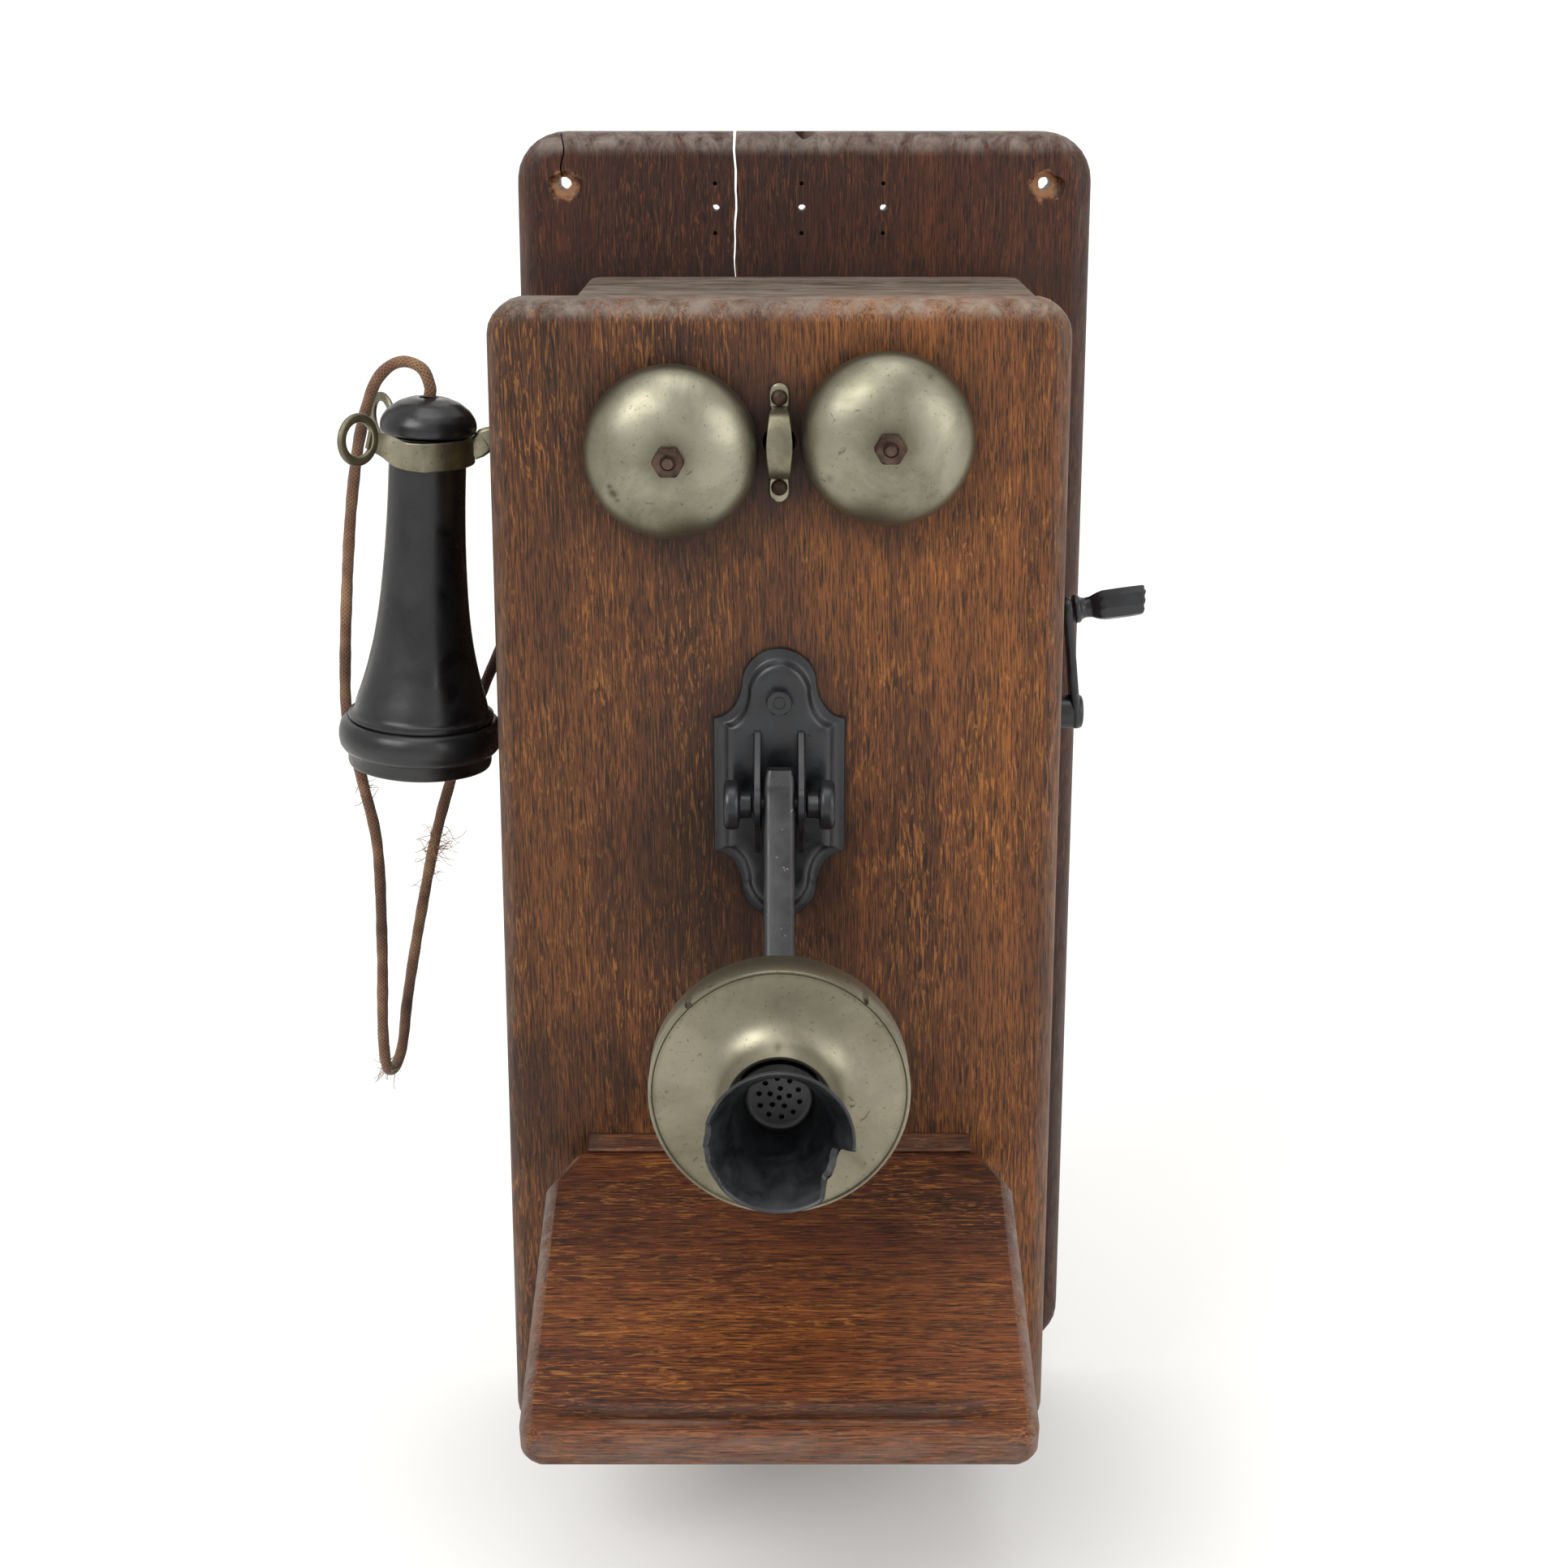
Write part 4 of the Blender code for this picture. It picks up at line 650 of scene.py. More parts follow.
def backboardPiece():
    low, high = boxOf("backboard")
    facts = backboardFacts
    cuts = [boreParts((x, 0.01, facts["screwZ"]), (x, -0.03, facts["screwZ"]), facts["screwRadius"], 28,
        0.05) for x in facts["screwHoles"]]
    # a worn dish round each screw hole, wider towards the face
    for x, lean in zip(facts["screwHoles"], (0.0008, 0.0011)):
        profile = [(0, -0.0185), (0.0068, -0.0185), (0.0060, -0.0172), (0.0030, -0.0150), (0, -0.0150)]
        dish = lambda r, h, turn: (r * (1 + 0.14 * np.sin(2 * turn + 1) + 0.08 * np.sin(5 * turn)), h)
        cuts.append(turnedParts([(r, -h) for r, h in profile], (x + lean, 0, facts["screwZ"] - 0.001),
            (0, -1, 0), 32, False, dish))
    for x in facts["columns"]:
        cuts.append(boreParts((x, 0.01, facts["columnZ"]), (x, -0.03, facts["columnZ"]), 0.00155, 20, 0.04))
        for rise in (-0.0102, 0.0102):
            cuts.append(boreParts((x - 0.0004, -0.012, facts["columnZ"] + rise),
                (x, -0.03, facts["columnZ"] + rise), 0.0009, 12))
    # the split wanders with the grain, and opens towards the top
    z = np.linspace(facts["splitFoot"], 0.285, 24)
    wander = facts["splitX"] + 0.00035 * np.sin(z * 130) + 0.0002 * np.sin(z * 410)
    gap = 0.00022 + 0.00048 * (z - z[0]) / (z[-1] - z[0])
    split = np.vstack([np.stack([wander - gap, z], 1), np.stack([wander + gap, z], 1)[::-1]])
    cuts.append(wedgeParts(split, 0.01, -0.03))
    start, end = facts["notch"]
    notch = [(start, 0.2830), (start + 0.0015, 0.2792), (start + 0.0042, 0.2768), (start + 0.0058, 0.2771),
        (end - 0.003, 0.2782), (end, 0.2830)]
    cuts.append(wedgeParts(notch, -0.0065, -0.03))
    crackZ = np.linspace(0.2605, 0.284, 10)
    crackX = facts["screwHoles"][0] - 0.0005 + 0.0008 * np.sin(crackZ * 420)
    crack = np.vstack([np.stack([crackX - 0.0003, crackZ], 1), np.stack([crackX + 0.0003, crackZ], 1)[::-1]])
    cuts.append(wedgeParts(crack, -0.012, -0.03))
    material = rawMarks(backOak, [(x, facts["screwZ"] - 0.001, 0.0068) for x in facts["screwHoles"]])
    board = boardPiece("oakBackboard", low, high, "backboard", "cabinet", material, facts["corner"], 0.0012,
        facts["round"], "front", cuts, True)
    p = pointsOf(board)
    edge = np.maximum(np.abs(p[:, 0]) - (0.120 - 0.0085), np.abs(p[:, 2]) - (0.280 - 0.0085))
    # painted sheen: the top face greyed as if lit from above
    paintedSheenTop = ramp(p[:, 2], 0.2700, 0.2755) * ramp(-p[:, 1], -0.002, 0.004)
    # painted shade: a soft dark band across the board between 210 and 232 mm up, along the top of the box
    markPiece(board, wear=0.30 * ramp(edge, 0.001, 0.007) + paintedSheenTop,
        grime=0.5 * ramp(p[:, 2], 0.210, 0.2225) * ramp(-p[:, 2], -0.232, -0.2215))


def rawMarks(material, spots):
    # bare light wood round a worn hole: how near a point is to the hole, made ragged by noise
    tree = material.node_tree
    shader = tree.nodes["Principled BSDF"]
    place = addNode(tree, "TexCoord").outputs["Object"]
    noise = addNode(tree, "TexNoise", {"Vector": place, "Scale": 1000 / 4.5, "Detail": 4.0,
        "Roughness": 0.65}).outputs["Fac"]
    colour = shader.inputs["Base Color"].links[0].from_socket
    for x, z, reach in spots:
        flat = addNode(tree, "VectorMath", {0: place, 1: (1, 0, 1)}, operation="MULTIPLY").outputs[0]
        far = addNode(tree, "VectorMath", {0: flat, 1: (x, 0, z)}, operation="DISTANCE").outputs["Value"]
        ragged = addNode(tree, "Math", {0: noise, 1: 0.011, 2: far}, operation="MULTIPLY_ADD").outputs[0]
        share = addNode(tree, "MapRange", {"Value": ragged, 1: reach + 0.0055, 2: reach + 0.0030, 3: 0.0,
            4: 0.85}).outputs[0]
        colour = blended(tree, "MIX", share, colour, linear("8a6242"))
    tree.links.new(colour, shader.inputs["Base Color"])
    return material


def boxPieces():
    low, high = boxOf("box_top")
    top = boardPiece("oakBoxTop", low, high, "box_top", "cabinet", sheenTopOak, 0.0085, 0.0006, 0.0030, "up")
    p = pointsOf(top)
    # painted sheen: the top face greyed as if lit from above; painted shade: darker along the back, where the top
    # meets the backboard
    markPiece(top, wear=0.92 * ramp(p[:, 2], high[2] - 0.004, high[2] - 0.0005),
        grime=ramp(p[:, 1], -0.026, -0.0190))
    low, high = boxOf("box_bottom")
    boardPiece("oakBoxBottom", low, high, "box_bottom", "cabinet", sideOak, 0.0030, 0.0010, 0.0006, "up")
    for which, facing in (("left", "left"), ("right", "right")):
        low, high = boxOf(f"box_{which}_side")
        if which == "left":
            slot = [(-0.1200, 0.1625), (-0.1120, 0.1625), (-0.1120, 0.1830), (-0.1200, 0.1830)]
            grid = np.array([[(x, y, z) for y, z in slot] for x in (low[0] - 0.01, high[0] + 0.01)])
            cuts = [gridParts(grid, True, False, True, True),
                boreParts((low[0] - 0.01, -0.088, 0.117), (high[0] + 0.01, -0.088, 0.117), 0.0032)]
        else:
            cuts = [boreParts((low[0] - 0.01, -0.093, 0.0525), (high[0] + 0.01, -0.093, 0.0525), 0.0083)]
        side = boardPiece(f"oakBoxSide_{which}", low, high, f"box_{which}_side", "cabinet", sideOak, 0.0012,
            0.0004, 0.0008, facing, cuts)
        p = pointsOf(side)
        hole = np.hypot(p[:, 1] + 0.116, p[:, 2] - 0.170)
        # darker in a round patch about the hook's slot, fading out from 10 to 30 mm away
        markPiece(side, grime=0.5 * (1 - ramp(hole, 0.010, 0.030)),
            wear=0.3 * ramp(np.abs(p[:, 2]), 0.195, 0.210))


backboardPiece()
boxPieces()
print("backboard and box made")

# door: a slab with broad round edges, painted shade round the bells, the bracket and above the shelf, painted
# light on its right, and a painted sheen along its top end
doorFacts = {"corner": 0.013, "round": 0.0078, "backRound": 0.0012, "clapperBore": 0.0060}


def doorPiece():
    low, high = boxOf("door")
    x = (low[0] + high[0]) / 2
    bore = boreParts((x, high[1] + 0.01, 0.1758), (x, low[1] - 0.01, 0.1758), doorFacts["clapperBore"])
    door = boardPiece("oakDoor", low, high, "door", "door", shadedDoor(x), doorFacts["corner"],
        doorFacts["backRound"], doorFacts["round"], "front", [bore])
    p = pointsOf(door)
    edge = np.maximum(np.abs(p[:, 0] - x) - (0.1055 - 0.0078), np.abs(p[:, 2] + 0.00075) - (0.22725 - 0.0078))
    # painted sheen: the top end greyed as if lit from above; painted shade: the lower end darkened where it faces
    # down
    top = ramp(p[:, 2], 0.2185, 0.2240)
    markPiece(door, wear=0.30 * ramp(edge, 0.0005, 0.006) + 0.75 * top,
        grime=0.4 * ramp(-p[:, 2], 0.2150, 0.2260))


def shadedDoor(x):
    # painted shade: soft dark areas round the bells and the bracket, above the shelf and down the left; painted
    # light on the right
    material = doorOak
    tree = material.node_tree
    shader = tree.nodes["Principled BSDF"]
    place = addNode(tree, "TexCoord").outputs["Object"]
    colour = shader.inputs["Base Color"].links[0].from_socket
    noise = addNode(tree, "TexNoise", {"Vector": place, "Scale": 1000 / 30, "Detail": 3.0,
        "Roughness": 0.6}).outputs["Fac"]
    spots = [((x - 0.0389, 0, 0.172), 0.036, 0.46), ((x + 0.0389, 0, 0.176), 0.036, 0.42),
        ((x, 0, 0.175), 0.020, 0.5),
             ((x, 0, 0.070), 0.026, 0.52), ((x, 0, 0.028), 0.026, 0.52), ((x, 0, -0.004), 0.019, 0.55),
             ((x, 0, -0.075), 0.050, 0.42),
             ((x - 0.085, 0, -0.080), 0.030, 0.42), ((x - 0.030, 0, 0.010), 0.036, 0.34)]
    for centre, reach, depth in spots:
        near = addNode(tree, "VectorMath", {0: place, 1: (1, 0, 1)}, operation="MULTIPLY").outputs[0]
        far = addNode(tree, "VectorMath", {0: near, 1: centre}, operation="DISTANCE").outputs["Value"]
        ragged = addNode(tree, "Math", {0: noise, 1: 0.016, 2: far}, operation="MULTIPLY_ADD").outputs[0]
        share = addNode(tree, "MapRange", {"Value": ragged, 1: reach + 0.022, 2: reach + 0.001, 3: 0.0,
            4: depth}, interpolation_type="SMOOTHSTEP").outputs[0]
        # painted shade: the door's colour multiplied towards this brown in each soft area
        colour = blended(tree, "MULTIPLY", share, colour, linear("523426"))
    sideways = addNode(tree, "SeparateXYZ", {"Vector": place}).outputs[0]
    light = addNode(tree, "MapRange", {"Value": sideways, 1: x - 0.01, 2: x + 0.055, 3: 0.0, 4: 0.6},
        interpolation_type="SMOOTHSTEP").outputs[0]
    # painted light: the right of the door lightened
    colour = blended(tree, "MULTIPLY", light, colour, (1.34, 1.27, 1.15, 1))
    tree.links.new(colour, shader.inputs["Base Color"])
    return material


doorPiece()

# shelf: a sloping board cut back at its rear corners, with a round front and a pencil groove
shelfFacts = {"back": (-0.0105, -0.1733, -0.0947), "front": (-0.0105, -0.3140, -0.1379), "width": 0.1765,
    "backWidth": 0.147,
              "thick": 0.0160, "strip": 0.010, "groove": 0.0117, "round": 0.0034, "chamfer": 0.0046}


def shelfPieces():
    facts = shelfFacts
    back, front = np.array(facts["back"]), np.array(facts["front"])
    run = unit(front - back)
    out = np.array([0, run[2], -run[1]])
    out = out if out[2] > 0 else -out
    across = np.array([1.0, 0, 0])
    long = np.linalg.norm(front - back)
    half, halfBack = facts["width"] / 2, facts["backWidth"] / 2 + 0.0055
    start, thick = facts["strip"] + 0.0003, facts["thick"]
    # rows from the back to the front: the half width follows the cut corners, and the round front draws in
    line = long - facts["groove"]
    v = np.unique(np.concatenate([np.linspace(start, long - 0.009, 90),
        np.linspace(line - 0.006, line + 0.006, 40),
        long - 0.009 + 0.009 * np.sin(np.radians(np.linspace(0, 90, 22)))]))
    width = np.interp(v, [start, 0.027, long], [halfBack, half, half])
    width = width - 0.009 + np.sqrt(np.clip(0.009 ** 2 - (v - long + 0.009).clip(0) ** 2, 0, None))
    draw = facts["round"] - np.sqrt(np.clip(facts["round"] ** 2 - (v - long + facts["round"]).clip(0) ** 2, 0,
        None))
    draw = np.maximum(draw, 0.0009 * (1 - ramp(v, start, start + 0.0012)))
    # each row is a slab section: a flat top, a chamfer at either side, and a flat underside
    chamfer = facts["chamfer"]
    top = np.linspace(-1, 1, 81)
    u = np.concatenate([top, [1, 1, 1, 1], top[::-8], [-1, -1, -1, -1]])
    inward = np.concatenate([np.full(81, chamfer), [chamfer * 0.42, 0, 0, 0.0012], np.full(11, 0.003),
        [0.0012, 0, 0, chamfer * 0.42]])
    down = np.concatenate([np.zeros(81), [chamfer * 0.42, chamfer * 1.05, thick - 0.003, thick - 0.0012],
        np.full(11, thick), [thick - 0.0012, thick - 0.003, chamfer * 1.05, chamfer * 0.42]])
    x = u * (width[:, None] - inward)
    height = -draw[:, None] - down * (1 - 2 * draw[:, None] / thick)
    # the groove: a shallow round hollow across the board whose ends rise out of the surface
    deep = 0.0026 * (1 - ramp(np.abs(x), 0.052, 0.083))
    dip = deep * np.sqrt(np.clip(1 - ((v[:, None] - line) / 0.0042) ** 2, 0, 1))
    height = height - np.where(down < 0.0001, dip, 0)
    grid = back + x[..., None] * across + v[:, None, None] * run + height[..., None] * out
    shelf = makePiece("oakShelf", [gridParts(grid, True, False, True, True)], shelfOak, "door", ["shelf"],
        sharp=34)
    p = pointsOf(shelf) - back
    u, v, w = p @ across, p @ run, p @ out
    edge = np.interp(v, [start, 0.027, long], [halfBack, half, half])
    sideEdge = ramp(np.abs(u), edge - 0.0043, edge - 0.0022)
    # painted shade: darker in the groove, in the crease at the back and under the front edge; painted highlight: a
    # light band along the groove's front lip; the side chamfers are greyed
    groove = hollow(v, long - facts["groove"], 0.0046) * (1 - ramp(np.abs(u), 0.060, 0.086)) * (w > -0.004)
    paintedGrooveHighlight = hollow(v, long - facts["groove"] + 0.0058, 0.0012) * (1 - ramp(np.abs(u), 0.050, 0.070))
    markPiece(shelf, wear=0.9 * sideEdge * (w > -0.012) + 0.35 * ramp(v, long - 0.0025, long) + 0.4 * paintedGrooveHighlight,
              grime=0.6 * groove + 0.75 * hollow(v, start, 0.0022) + 0.5 * hollow(v, long - 0.0005,
                  0.0006) * (w < -0.004))
    strip = 0.0147 * 5
    side = [(0.0002, -0.0003), (0.0002, -facts["thick"] / math.cos(0.2979)),
        (facts["strip"] - 0.0045, -facts["thick"] + 0.0005), (facts["strip"] - 0.0002, -0.0006),
            (facts["strip"] - 0.0008, 0), (0.0008, 0)]
    section = softProfile(side + side[:1], rounding=0.0004)
    stations = np.linspace(-strip, strip, 60)
    grid = back + stations[:, None, None] * across + section[None, :, :1] * run + section[None, :, 1:] * out
    rear = makePiece("oakShelfBackStrip", [gridParts(grid, True, False, True, True)], shelfOak, "door",
        ["shelf_back_strip"], sharp=50)
    q = pointsOf(rear)
    q[:, 1] = np.minimum(q[:, 1], -0.1733)
    rear.data.vertices.foreach_set("co", q.astype(np.float32).ravel())
    # painted shade: darker along the crease against the door, and darker at both ends
    markPiece(rear, grime=0.55 * ramp(np.abs(q[:, 0] + 0.0105), 0.066, 0.0735) + 0.5 * ramp(q[:, 1], -0.1765,
        -0.1735), wear=0.15 + 0 * q[:, 0])


shelfPieces()
print("door and shelf made")

# bells: thin turned cups of nickel plate with a soft dent of tarnish,
# each on its post under a square-shouldered nut
bellFacts = {"radius": 0.0315, "rim": 0.0045, "crown": 0.0262, "wall": 0.0014, "nutRadius": 0.0060,
    "nutFoot": 0.0265, "nutTop": 0.0312}
doorX, onDoor = -0.0105, -0.1733


def hexOutline(radius, count=10, corner=0.12):
    # six sides with their corners drawn in a little
    turn = np.linspace(0, 2 * np.pi, 6 * count, endpoint=False)
    reach = np.cos(np.pi / 6) / np.cos((turn % (np.pi / 3)) - np.pi / 6)
    return radius * np.minimum(reach, 1 - corner * 0.35), turn


def nutParts(centre, out, radius, height):
    # a hexagon whose face is chamfered round, with a shallow dimple where its screw ends
    reach, turn = hexOutline(radius)
    side = unit(np.cross(out, [0, 0, 1] if abs(out[2]) < 0.9 else [0, 1, 0]))
    up = np.cross(side, out)
    rows = [(0.0, 0.0), (0.98, 0.0), (1.0, 0.02), (1.0, 0.80), (0.95, 0.90), (0.84, 1.0), (0.5, 1.0),
        (0.44, 0.98), (0.40, 0.86), (0.0, 0.86)]
    shape = [scale * (reach if 0.9 < scale else np.minimum(reach,
        radius * scale / max(scale, 0.01)) if scale == 0 else np.full_like(reach, radius)) for scale, _ in rows]
    grid = np.stack([np.asarray(centre) + r[:, None] * (np.cos(turn)[:, None] * side + np.sin(turn)[:,
        None] * up) + h * height * np.asarray(out, float) for r, (_, h) in zip(shape, rows)])
    return gridParts(grid, True)


def bellPiece(which, x, z, blemish):
    facts = bellFacts
    t = np.linspace(0, 1, 44)
    # the outside is a quarter of an ellipse that steepens to the rim;
    # the inside is the same drawn in by the wall
    angle = t * np.pi / 2
    outerR = facts["radius"] * np.sin(angle) ** 0.96
    outerH = facts["rim"] + 0.0007 + (facts["crown"] - facts["rim"] - 0.0007) * np.cos(angle) ** 0.78
    outerR[0], start = 0.0022, 0.0022
    outerR = np.maximum(outerR, start)
    outer = np.stack([outerR, outerH], 1)
    rim = np.array([[facts["radius"] - 0.0002, facts["rim"] + 0.0001],
        [facts["radius"] - 0.0007, facts["rim"]], [facts["radius"] - facts["wall"] + 0.0002,
            facts["rim"] + 0.0001]])
    scale = np.array([(facts["radius"] - facts["wall"]) / facts["radius"], 1])
    inner = (outer * scale - [0, facts["wall"]])[::-1]
    inner[:, 1] = np.maximum(inner[:, 1], facts["rim"] + 0.0004)
    inner[:, 0] = np.maximum(inner[:, 0], start)
    place = np.array([x, onDoor, z])
    bell = makePiece(f"nickelBell_{which}", [turnedParts(np.vstack([outer, rim, inner]), place, (0, -1, 0),
        128, True)], bellNickel, "door", [f"{which}_gong"])
    p = pointsOf(bell) - place
    reach = np.hypot(p[:, 0], p[:, 2])
    marks = np.zeros(len(p))
    for dx, dz, size, depth in blemish:
        marks = np.maximum(marks, depth * hollow(np.hypot(p[:, 0] - dx, p[:, 2] - dz), 0, size))
    # painted shade: darker at the middle round the nut and at the rim; the blemish spots are tarnish
    markPiece(bell, grime=0.32 * (1 - ramp(reach, 0.006, 0.013)) + 0.35 * ramp(reach, 0.0302, 0.0312) + marks)
    foot = place + np.array([0, -facts["nutFoot"], 0])
    nodes[f"{which}_gong_post"].data.materials[0] = darkNut
    makePiece(f"bellNut_{which}", [nutParts(foot, (0, -1, 0), facts["nutRadius"],
        facts["nutTop"] - facts["nutFoot"])], darkNut, "door", [f"{which}_gong_nut"], sharp=30)


# nickel on the bells: cloudy and grey green, warm where it has thinned, with fine dark specks
bellNickel = wornMetal("tarnishedBellNickel", "8f8b79", "6d6959", "3a3226", 0.40, 30)
darkNut = wornMetal("rustedNut", "5d4d43", "3a2e27", "201712", 0.5, 7)
bellPiece("left", doorX - 0.0389, 0.1733, [(-0.0200, -0.0125, 0.0016, 0.9), (-0.0212, -0.0100, 0.0009, 0.8),
    (-0.0185, -0.0150, 0.0008, 0.7)])
bellPiece("right", doorX + 0.0389, 0.1779, [(0.014, 0.024, 0.0011, 0.5), (-0.021, -0.012, 0.0012, 0.45)])


def guardPiece():
    # a strap bent over the clapper: a rounded section carried along its side view, with round feet
    z = 0.1758
    stops = [(0.0010, 0.0215), (0.0010, 0.0140), (0.0022, 0.0125), (0.0060, 0.0117), (0.0098, 0.0106),
        (0.0122, 0.0080), (0.0132, 0.0040), (0.0134, 0)]
    stops = stops + [(out, -up) for out, up in stops[:-1][::-1]]
    line = smoothLine([(doorX, onDoor - out, z + up) for out, up in stops], 90)
    share = np.abs(np.linspace(-1, 1, len(line)))
    wide = np.where(share > 0.86, np.sqrt(np.clip(1 - ((share - 0.86) / 0.145) ** 2, 0.02, 1)),
        1.0) * (0.92 + 0.30 * hollow(share, 0, 0.30) - 0.18 * hollow(share, 0.62, 0.10))
    parts = [carried(line, roundSection(0.0078, 0.0014, 0.0005), (1, 0, 0),
        np.stack([wide, np.ones_like(wide)], 1))]
    makePiece("nickelClapperGuard", parts, nickel, "door", ["clapper_guard"])
    for which, side in (("upper", 1), ("lower", -1)):
        head = [(0, 0.0018), (0.0012, 0.0017), (0.0024, 0.0011), (0.0030, 0.0002), (0.0030, -0.0002),
            (0, -0.0002)]
        foot = np.array([doorX, onDoor - 0.0018, z + side * 0.0163])
        makePiece(f"guardScrew_{which}", [turnedParts(softProfile(head, rounding=0.0002), foot, (0, -1, 0),
            32)], darkNut, "door")


guardPiece()
print("bells and guard made")

# transmitter bracket: a pressed iron plate with a raised middle and two ears, baked black
bracketFacts = {"half": 0.0245, "top": 0.0526, "shoulder": 0.0260, "lobe": 0.0140, "middle": 0.0469}


def bracketOutline():
    # a round lobe at each end, joined to the straight middle by hollow shoulders
    facts = bracketFacts
    a = np.radians(np.linspace(90, 12, 24))
    quarter = np.stack([facts["lobe"] * np.cos(a), facts["top"] - facts["lobe"] + facts["lobe"] * np.sin(a)], 1)
    t = np.radians(np.linspace(4, 90, 22))
    reach, rise = facts["half"] - quarter[-1, 0], quarter[-1, 1] - facts["shoulder"]
    hollowed = np.stack([facts["half"] - reach * np.cos(t), quarter[-1, 1] - rise * np.sin(t)], 1)
    right = np.vstack([quarter, hollowed])
    right = np.vstack([right, right[::-1] * [1, -1]])
    return evenly(np.vstack([right, right[1:-1][::-1] * [-1, 1]]), 420, closed=True)[::-1]


def shrunk(outline, inset):
    # the outline made smaller by the inset on every side
    low, high = outline.min(0), outline.max(0)
    half = (high - low) / 2
    return outline * ((half - inset) / half)


def bracketPieces():
    facts = bracketFacts
    outline = bracketOutline()
    levels = [(0.0, 0.0), (0.0, 0.0008), (0.0004, 0.0013), (0.0016, 0.0014), (0.0034, 0.0015),
        (0.0042, 0.0020), (0.0054, 0.0040), (0.0062, 0.0048),
              (0.0074, 0.0051), (0.0092, 0.0052), (0.0125, 0.0052)]
    rings = [np.column_stack([shrunk(outline, inset), np.full(len(outline), height)]) for inset,
        height in levels]
    core = np.column_stack([0 * outline[:, 0], np.clip(outline[:, 1], -0.030, 0.030),
        np.full(len(outline), 0.0052)])
    rings += [rings[-1] + (core - rings[-1]) * t for t in (0.33, 0.66, 1.0)]
    base = np.column_stack([0 * outline[:, 0], np.clip(outline[:, 1], -0.030, 0.030), np.zeros(len(outline))])
    grid = asBoard(np.stack([base] + rings), (doorX, onDoor - 0.0002, facts["middle"]), (1, 0, 0), (0, 0, 1),
        (0, -1, 0))
    parts = [gridParts(grid, True)]
    pivot = np.array([-0.193, 0.045])
    turn = np.radians(np.linspace(118, 242, 22))
    ear = np.vstack([[(-0.1765, 0.0215), (-0.1765, 0.0695), (-0.1795, 0.0690), (-0.1850, 0.0640)],
        pivot + 0.0085 * np.stack([np.cos(turn), np.sin(turn)], 1)[:, :],
                     [(-0.1850, 0.0270), (-0.1795, 0.0220)]])
    ear = evenly(ear, 120, closed=True)
    for x in (-0.00805, 0.00805):
        low, high = np.array([-0.0016, -0.0010, 0.0010, 0.0016]), np.array([0.93, 1.0, 1.0, 0.93])
        centre = ear.mean(0)
        grid = np.stack([np.column_stack([np.full(len(ear), doorX + x + dx),
            centre + (ear - centre) * s]) for dx, s in zip(low, high)])
        parts.append(gridParts(grid, True, False, True, True))
    makePiece("enamelBracket", parts, enamel, "door", ["transmitter_bracket"], sharp=40)
    half = [(0, 0.0204), (0.0078, 0.0203), (0.0088, 0.0196), (0.0091, 0.0185), (0.0091, 0.0160),
        (0.0086, 0.0150), (0.0070, 0.0146), (0.0050, 0.0143), (0.0048, 0.0102), (0.0026, 0.0100)]
    whole = half + [(r, -h) for r, h in half[::-1]]
    makePiece("enamelPivotBolt", [turnedParts(softProfile(whole, rounding=0.0004), (doorX, -0.193, 0.045),
        (1, 0, 0), 64)], enamel, "door", ["pivot_bolt"])
    for which, z in (("upper", 0.0805), ("lower", 0.0125)):
        foot = (doorX, onDoor - 0.0053, z)
        makePiece(f"enamelBracketNut_{which}", [nutParts(foot, (0, -1, 0), 0.0052, 0.0040)], enamel, "door",
            [f"{which}_bracket_nut"], sharp=30)


def armPiece():
    # a bar with round edges carried from the pivot down and out to the transmitter's cup, thick in its middle
    line = smoothLine([(doorX, -0.1925, 0.0585), (doorX, -0.1940, 0.0480), (doorX, -0.2035, 0.0310),
        (doorX, -0.2210, 0.0075), (doorX, -0.2370, -0.0120), (doorX, -0.2500, -0.0270)], 90)
    share = np.linspace(0, 1, len(line))
    deep = np.interp(share, [0, 0.05, 0.15, 0.5, 1], [0.55, 0.92, 1.05, 0.95, 0.9])
    wide = np.interp(share, [0, 0.03, 0.08, 1], [0.8, 0.95, 1.0, 0.98])
    makePiece("enamelArm", [carried(line, roundSection(0.0112, 0.0125, 0.0022, 5), (1, 0, 0),
        np.stack([wide, deep], 1))], chippedEnamel, "transmitter", ["transmitter_arm"])


chippedEnamel = blackCoat("chippedBlackEnamel", "141416", "333230", "7d6d5b", 0.36, 9.0, 0.68)
bracketPieces()
armPiece()
print("bracket and arm made")

# transmitter: a shallow nickel cup, a dished face that rises to a collar, and a turned black mouthpiece
transmitterFacts = {"face": (-0.0105, -0.279, -0.029), "radius": 0.04445, "holeRadius": 0.00095}


